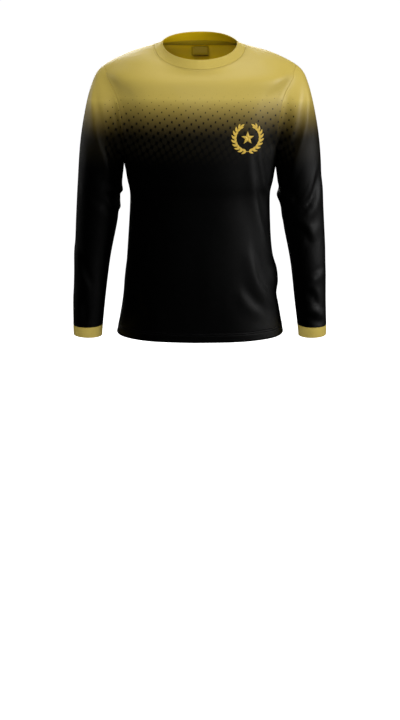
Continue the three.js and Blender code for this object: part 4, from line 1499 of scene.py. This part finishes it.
@dataclass(frozen=True)
class Emblem:
    """A plain laurel wreath round a five-pointed star, in metres."""

    x: float = 0.108
    z: float = -0.214
    radius: float = 0.0305
    leaves: int = 9
    leaf_length: float = 0.0118
    leaf_width: float = 0.0046
    lean: float = 0.52
    open_angle: float = 0.42
    star_outer: float = 0.0155
    star_inner: float = 0.0064
    lift: float = 0.00022
    film: float = 0.00035

    def leaf(self, root: tuple[float, float], heading: float) -> list[list[tuple[float, float, float]]]:
        """A leaf as rows of (x, z, rise) points, with its midrib low."""
        rows = []
        steps = 7
        for step in range(steps + 1):
            share = step / steps
            half = self.leaf_width / 2 * math.sin(math.pi * share**0.85) ** 0.9 + 0.00012
            row = []
            for side, rise in ((-1, 0.0), (-0.5, 1.0), (0, 0.35), (0.5, 1.0), (1, 0.0)):
                forward, across = share * self.leaf_length, side * half
                x = root[0] + forward * math.cos(heading) - across * math.sin(heading)
                z = root[1] + forward * math.sin(heading) + across * math.cos(heading)
                row.append((x, z, rise))
            rows.append(row)
        return rows

    def wreath(self) -> list[list[list[tuple[float, float, float]]]]:
        """Every leaf and both stems, as grids."""
        grids = []
        for side in (1, -1):
            span = math.pi - self.open_angle
            for step in range(self.leaves):
                share = (step + 0.35) / self.leaves
                angle = -math.pi / 2 + side * share * span * 0.94
                root = (self.x + self.radius * math.cos(angle), self.z + self.radius * math.sin(angle))
                along = angle + side * math.pi / 2
                for turn in (self.lean, -self.lean):
                    grids.append(self.leaf(root, along + turn))
            grids.append(self.leaf((
                self.x + self.radius * math.cos(-math.pi / 2 + side * span * 0.93),
                self.z + self.radius * math.sin(-math.pi / 2 + side * span * 0.93),
            ), -math.pi / 2 + side * span * 0.93 + side * math.pi / 2))
            stem = []
            for step in range(37):
                angle = -math.pi / 2 + side * (-0.16 + step / 36 * (span * 0.93 + 0.16))
                stem.append([
                    (
                        self.x + (self.radius + w) * math.cos(angle),
                        self.z + (self.radius + w) * math.sin(angle),
                        r,
                    )
                    for w, r in ((-0.0006, 0.0), (0.0, 0.8), (0.0006, 0.0))
                ])
            grids.append(stem)
        return grids

    def star(self) -> list[list[list[tuple[float, float, float]]]]:
        """The star as ten facets that rise to ridges."""
        corners = []
        for step in range(10):
            angle = math.pi / 2 + step * math.pi / 5
            reach = self.star_inner if step % 2 else self.star_outer
            corners.append((self.x + reach * math.cos(angle), self.z + reach * math.sin(angle)))
        grids = []
        for step in range(0, 10, 2):
            left, tip, right = corners[step - 1], corners[step], corners[(step + 1) % 10]
            rows = []
            for k in range(5):
                share = k / 4
                mid = (mix(self.x, tip[0], share), mix(self.z, tip[1], share))
                ends = [(mix(c[0], tip[0], share), mix(c[1], tip[1], share)) for c in (left, right)]
                rows.append([(*ends[0], 0.0), (*mid, 3.2 * (1 - 0.8 * share)), (*ends[1], 0.0)])
            grids.append(rows)
        return grids

    def press(
        self, name: str, grids: Sequence, tree: BVHTree, material: bpy.types.Material
    ) -> bpy.types.Object:
        """Lays grids of film on the chest.

        Args:
            name: The piece's name.
            grids: Rows of (x, z, rise) points.
            tree: The garment's surface.
            material: The film's finish.

        Returns:
            The film as one object.
        """
        points, faces, places = [], [], []
        for grid in grids:
            first, width = len(points), len(grid[0])
            for row in grid:
                for x, z, rise in row:
                    hit, _, _, _ = tree.ray_cast(Vector((x, -1.0, z)), Vector((0, 1, 0)))
                    points.append((x, hit.y - self.lift - self.film - rise * 0.00022, z))
                    places.append((x, z))
            for r in range(len(grid) - 1):
                for c in range(width - 1):
                    a = first + r * width + c
                    faces.append((a, a + 1, a + width + 1, a + width))
        piece = mesh_object(name, points, faces)
        add_map(piece.data, KNIT_MAP, np.array([places[loop.vertex_index] for loop in piece.data.loops]))
        piece.data.materials.append(material)
        for polygon in piece.data.polygons:
            if polygon.normal.y > 0:
                polygon.flip()
        piece.data.update()
        solid = piece.modifiers.new("Film", "SOLIDIFY")
        solid.offset, solid.thickness = -1.0, self.film
        apply_modifiers(piece)
        return piece


# ---- The whole garment --------------------------------------------------------------------------


@dataclass
class Shirt:
    """The finished garment."""

    cut: Cut = field(default_factory=Cut)
    working_levels: int = 3
    allowance: float = 0.007
    tape: float = 0.012
    blend_reach: float = 0.066

    def build(self, finishes: Finishes) -> None:
        """Shapes the skin, parts it into panels and sews on the rest.

        Args:
            finishes: The materials.
        """
        skin = fitted_skin(self.cut, self.working_levels)
        skin.move(skin.points + skin.normals * FOLDS.lift(skin.points, skin.normals)[:, None])
        skin.subdivide(1)
        log.info("skin: %d cells", len(skin.cells))
        self.skin = skin
        self.finishes = finishes
        self.tailor = Tailor(skin, finishes)
        self.panels()
        self.body_seams()
        self.neck()
        for side in Side:
            self.arm_seams(side)
        self.labels()
        self.emblem()
        bpy.data.objects.remove(skin.obj)

    # -- how pieces are joined to the frame

    def keep(self, piece: bpy.types.Object, node: str, body: str, slot: str) -> None:
        """Lets a piece stand for its CAD node and move with its body."""
        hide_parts(node)
        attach(piece, body)
        log.info("%s: %d faces", piece.name, len(piece.data.polygons))

    def keep_on_sleeve(self, piece: bpy.types.Object, node: str) -> None:
        """Hides a piece's CAD node and bakes the piece's placement into its points."""
        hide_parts(node)
        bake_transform(piece)
        log.info("%s: %d faces", piece.name, len(piece.data.polygons))

    def panels(self) -> None:
        """Makes the cloth panels."""
        make, cloth = self.tailor.panel, self.tailor.thickness
        finish = self.finishes
        knit = (cloth.single, finish.body, finish.reverse)
        front = make("front_body", {Panel.FRONT.value}, *knit, double_hem=True)
        back = make("back_body", {Panel.BACK.value}, *knit, double_hem=True)
        ribbed = (cloth.doubled, finish.neckband, finish.band_reverse)
        band = make("neckband_rib", {Panel.NECKBAND.value}, *ribbed)
        self.keep(front, "front_panel", "torso", "printed_knit")
        self.keep(back, "back_panel", "torso", "printed_knit")
        self.keep(band, "neckband", "torso", "gold_rib")
        for side in Side:
            fabric = (cloth.single, finish.sleeve, finish.reverse)
            sleeve = make(f"{side.word}_sleeve_cloth", sleeve_tags(side), *fabric)
            self.keep_on_sleeve(sleeve, f"{side.word}_sleeve")
            cuff_tag = {Panel[f"{side.name}_CUFF"].value}
            cuff = make(f"{side.word}_cuff_knit", cuff_tag, cloth.doubled, finish.cuff, finish.band_reverse)
            self.keep(cuff, f"{side.word}_cuff", side.arm, "gold_rib")

    def body_seams(self) -> None:
        """Sews the shoulder, side and hem lines."""
        skin, tailor, finish = self.skin, self.tailor, self.finishes
        front, back = {Panel.FRONT.value}, {Panel.BACK.value}
        inside = -(2 * tailor.thickness.single + 0.0003)
        for side in Side:
            sign = side.value
            line, _ = skin.seam(
                front, back, lambda p, s=sign: p[:, 0].mean() * s > 0 and p[:, 2].mean() < -0.2)
            line = line if skin.points[line[0], 2] < skin.points[line[-1], 2] else line[::-1]
            stations = trimmed(skin.stations(line, back), 0.002, self.allowance + 0.002)
            band = tailor.band(f"{side.word}_side_overlock", stations, False, (0.0005, self.allowance),
                               inside, 0.0010, finish.black_edge, tailor.torso_tree)
            self.keep(band, f"{side.word}_side_seam", "torso", "black_overlock")
            line, _ = skin.seam(
                front, back, lambda p, s=sign: p[:, 0].mean() * s > 0 and p[:, 2].mean() > -0.2)
            outer_first = abs(skin.points[line[0], 0]) > abs(skin.points[line[-1], 0])
            line = line if outer_first else line[::-1]
            stations = trimmed(skin.stations(line, back), self.allowance + 0.001, self.tape + 0.001)
            band = tailor.band(f"{side.word}_shoulder_overlock", stations, False, (0.0005, self.allowance),
                               inside, 0.0010, finish.gold_edge, tailor.torso_tree)
            self.keep(band, f"{side.word}_shoulder_seam", "torso", "gold_tape")
        hem, closed = skin.seam(TORSO, set(), lambda p: p[:, 2].mean() < -0.6 and np.ptp(p[:, 0]) > 0.3)
        stations = skin.stations(hem, TORSO)
        for height, level in zip(HEM_NEEDLES, ("lower", "upper")):
            node = f"hem_stitch_{level}"
            row = tailor.stitches(f"{level}_hem_stitches", stations, closed, height, finish.black_thread)
            self.keep(row, node, "torso", "black_thread")

    def neck(self) -> None:
        """Sews the neckband's tape, front allowance and top stitching."""
        skin, tailor, finish = self.skin, self.tailor, self.finishes
        inside = -(tailor.thickness.doubled + 0.0004)
        line, closed = skin.seam({Panel.NECKBAND.value}, TORSO, lambda p: True)
        at, sides, outs = skin.stations(line, TORSO)
        around = (at, sides, outs)
        stitch = tailor.stitches("neckband_topstitches", around, closed, 0.003, finish.gold_thread)
        self.keep(stitch, "neckband_stitch", "torso", "gold_thread")
        for name, node, half, width, material in (
            ("back_neck_tape", "neck_tape", 1, self.tape, finish.tape),
            ("front_neck_overlock", "front_neck_seam", -1, self.allowance, finish.gold_edge),
        ):
            # The ring of stations is turned so that it starts where this half of the neck begins.
            in_half = at[:, 1] * half > 0.0005
            first = int(np.flatnonzero(in_half & ~np.roll(in_half, 1))[0])
            order = np.roll(np.arange(len(at)), -first)
            order = order[in_half[order]]
            part = trimmed((at[order], sides[order], outs[order]), 0.001, 0.001)
            band = tailor.band(
                name, part, False, (0.0004, width), inside, 0.0008, material, tailor.torso_tree)
            self.keep(band, node, "torso", "gold_tape")

    def arm_seams(self, side: Side) -> None:
        """Sews one armhole, its sleeve seam and its cuff."""
        skin, tailor, finish = self.skin, self.tailor, self.finishes
        sleeve = sleeve_tags(side)
        inside = -(2 * tailor.thickness.single + 0.0003)
        ring, closed = skin.seam(sleeve, TORSO, lambda p: True)
        band = tailor.band(f"{side.word}_armhole_overlock", skin.stations(ring, TORSO), closed,
                           (0.0005, self.allowance), inside, 0.0010, finish.black_edge, tailor.torso_tree)
        self.keep(band, f"{side.word}_armhole_seam", "torso", "black_overlock")
        cuff_tag = {Panel[f"{side.name}_CUFF"].value}
        ring, closed = skin.seam(cuff_tag, sleeve, lambda p: True)
        stations = skin.stations(ring, sleeve)
        band = tailor.band(f"{side.word}_cuff_overlock", stations, closed, (0.0005, self.allowance),
                           -(tailor.thickness.doubled + 0.0004), 0.0010, finish.gold_edge)
        self.keep(band, f"{side.word}_cuff_seam", side.arm, "gold_tape")
        row = tailor.stitches(f"{side.word}_cuff_topstitches", stations, closed, 0.003, finish.black_thread)
        self.keep(row, f"{side.word}_cuff_stitch", side.arm, "black_thread")
        fronts, backs = ({Panel[f"{side.name}_SLEEVE_{half}"].value} for half in ("FRONT", "BACK"))
        line, _ = skin.seam(fronts, backs, lambda p: abs(p[:, 0]).mean() < 0.25)
        line = line if skin.points[line[0], 2] > skin.points[line[-1], 2] else line[::-1]
        stations = trimmed(skin.stations(line, backs), 0.008, self.allowance + 0.002)
        band = tailor.band(f"{side.word}_sleeve_overlock", stations, False, (0.0005, self.allowance),
                           inside, 0.0010, finish.black_edge, skin.search(sleeve))
        self.keep_on_sleeve(band, f"{side.word}_sleeve_seam")

    def labels(self) -> None:
        """Sews in the two blank labels, where the frame has them."""
        for node, piece_name in (("size_label", "neck_label"), ("care_label", "side_label")):
            low, high = (Vector(corner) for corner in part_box(node))
            piece = self.folded_label(piece_name, node, low, high)
            self.keep(piece, node, "torso", "label_satin")

    def folded_label(self, name: str, node: str, low: Vector, high: Vector) -> bpy.types.Object:
        """A thin satin label, folded double along its free edge, inside a node's box."""
        across, up = Vector((1, 0, 0)), Vector((0, 0, 1))
        inward = Vector((0, -1, 0))
        size = high - low
        if node == "size_label":
            root = Vector(((low.x + high.x) / 2, high.y, high.z))
            width, length, along, hang = size.x, size.z, across, -up
            start = root - across * width / 2
        else:
            width, length, along, hang = size.z, size.y, up, Vector((-0.42, -0.9, 0)).normalized()
            inward = Vector((-0.9, 0.42, 0))
            start = Vector((high.x - 0.004, high.y, low.z))
        rows = []
        steps = 8
        wide = steps + 1
        profile = [(0.0, 0.0), (0.3, 0.0006), (0.7, 0.0012), (0.94, 0.0016), (1.0, 0.0011), (0.94, 0.0005),
                   (0.6, 0.0008), (0.3, 0.0002), (0.0, -0.0006)]
        for share, off in profile:
            curl = 0.0016 * math.sin(share * 2.4)
            rows.append([
                start + along * width * k / steps + hang * length * share + inward * (off + curl)
                for k in range(wide)])
        faces = [
            (r * wide + c, r * wide + c + 1, (r + 1) * wide + c + 1, (r + 1) * wide + c)
            for r in range(len(profile) - 1) for c in range(steps)]
        piece = mesh_object(name, [p for row in rows for p in row], faces)
        add_map(piece.data, KNIT_MAP, np.array([
            (loop.vertex_index % wide * width / steps, loop.vertex_index // wide * length / 4)
            for loop in piece.data.loops]))
        piece.data.materials.append(self.finishes.label)
        solid = piece.modifiers.new("Satin", "SOLIDIFY")
        solid.thickness, solid.offset = 0.00025, 0.0
        apply_modifiers(piece)
        return piece

    def emblem(self) -> None:
        """Presses the wreath and star on the wearer's left chest."""
        design = Emblem()
        tree, film = self.tailor.torso_tree, self.finishes.film
        wreath = design.press("laurel_wreath", design.wreath(), tree, film)
        self.keep(wreath, "emblem_wreath", "torso", "emblem_film")
        star = design.press("five_point_star", design.star(), tree, film)
        self.keep(star, "emblem_star", "torso", "emblem_film")


# ---- Studio -------------------------------------------------------------------------------------


@dataclass(frozen=True)
class Studio:
    """Camera, lights and floor."""

    target_height: float = -0.342
    distance: float = 3.0
    look_down: float = math.radians(9.0)
    aim_lower: float = math.radians(7.875)
    lens: float = 62.536
    floor_height: float = -1.45

    def build(self) -> None:
        """Sets up the whole studio."""
        self.camera()
        self.lights()
        self.floor()
        self.world()
        scene = bpy.context.scene
        scene.view_settings.view_transform = "Standard"
        scene.view_settings.look = "None"

    def camera(self) -> None:
        """A long lens at chest height, aimed a little below the garment."""
        data = bpy.data.cameras.new("Camera")
        data.lens = self.lens
        data.sensor_width = 36.0
        data.dof.use_dof = False
        camera = bpy.data.objects.new("Camera", data)
        camera.location = (
            0.0,
            -self.distance * math.cos(self.look_down),
            self.target_height + self.distance * math.sin(self.look_down),
        )
        camera.rotation_euler = (math.pi / 2 - self.look_down - self.aim_lower, 0.0, 0.0)
        bpy.context.scene.collection.objects.link(camera)
        bpy.context.scene.camera = camera

    def lights(self) -> None:
        """A key that grazes from the wearer's left, a fill that casts no shine, and three round it."""
        for name, place, power, size, shines in (
            ("Key", (2.3, -0.8, 0.25), 30.0, 0.8, True),
            ("Front", (-0.4, -2.8, 1.0), 31.0, 1.8, False),
            ("Overhead", (0.1, -1.1, 2.0), 22.0, 1.0, False),
            ("Top", (0.3, 0.2, 2.2), 14.0, 0.7, True),
            ("Rear", (-0.4, 2.6, 0.9), 66.0, 2.0, True),
            ("Rear side", (-2.1, 1.3, 0.2), 5.0, 0.9, True),
        ):
            data = bpy.data.lights.new(name, "AREA")
            data.energy = power
            data.size = size
            light = bpy.data.objects.new(name, data)
            light.location = place
            light.visible_glossy = shines
            aim = Vector((0, 0, self.target_height)) - Vector(place)
            light.rotation_euler = aim.to_track_quat("-Z", "Y").to_euler()
            bpy.context.scene.collection.objects.link(light)

    def floor(self) -> None:
        """A plain pale floor, well below the hanging garment."""
        bpy.ops.object.select_all(action="DESELECT")
        bpy.ops.mesh.primitive_plane_add(size=2000.0, location=(0, 0, self.floor_height))
        floor = bpy.context.active_object
        floor.name = "studio_floor"
        material = bpy.data.materials.new("Pale floor")
        material.use_nodes = True
        nodes = Nodes(material.node_tree)
        shader = material.node_tree.nodes["Principled BSDF"]
        place = nodes.add("TexCoord").outputs["Object"]
        grain = nodes.add("TexNoise", {"Vector": place, "Scale": 3.0, "Detail": 4.0}).outputs[0]
        shade = nodes.add("MapRange", {0: grain, 3: 0.90, 4: 0.94}).outputs[0]
        nodes.tree.links.new(shade, shader.inputs["Base Color"])
        shader.inputs["Roughness"].default_value = 0.9
        # The floor glows a little to the eye alone, as a lit studio sweep does, and lights nothing.
        seen = nodes.add("LightPath").outputs["Is Camera Ray"]
        shader.inputs["Emission Color"].default_value = (1.0, 1.0, 1.0, 1.0)
        nodes.tree.links.new(nodes.math("MULTIPLY", seen, 0.96), shader.inputs["Emission Strength"])
        floor.data.materials.append(material)
        floor.visible_glossy = False

    def world(self) -> None:
        """White all round to the eye, and a dim, even light on the garment that casts no shine."""
        world = bpy.data.worlds.new("Studio")
        bpy.context.scene.world = world
        world.use_nodes = True
        tree = world.node_tree
        background = tree.nodes["Background"]
        background.inputs["Color"].default_value = (1.0, 1.0, 1.0, 1.0)
        nodes = Nodes(tree)
        path = nodes.add("LightPath")
        lit = nodes.math("MULTIPLY_ADD", path.outputs["Is Glossy Ray"], -0.08, 0.08)
        strength = nodes.math("MAXIMUM", path.outputs["Is Camera Ray"], lit)
        tree.links.new(strength, background.inputs["Strength"])


def main() -> None:
    """Builds the garment and its studio."""
    Studio().build()
    Shirt().build(Finishes())


if __name__ == "__main__":
    logging.basicConfig(level=logging.INFO, format="%(name)s: %(message)s")
    main()
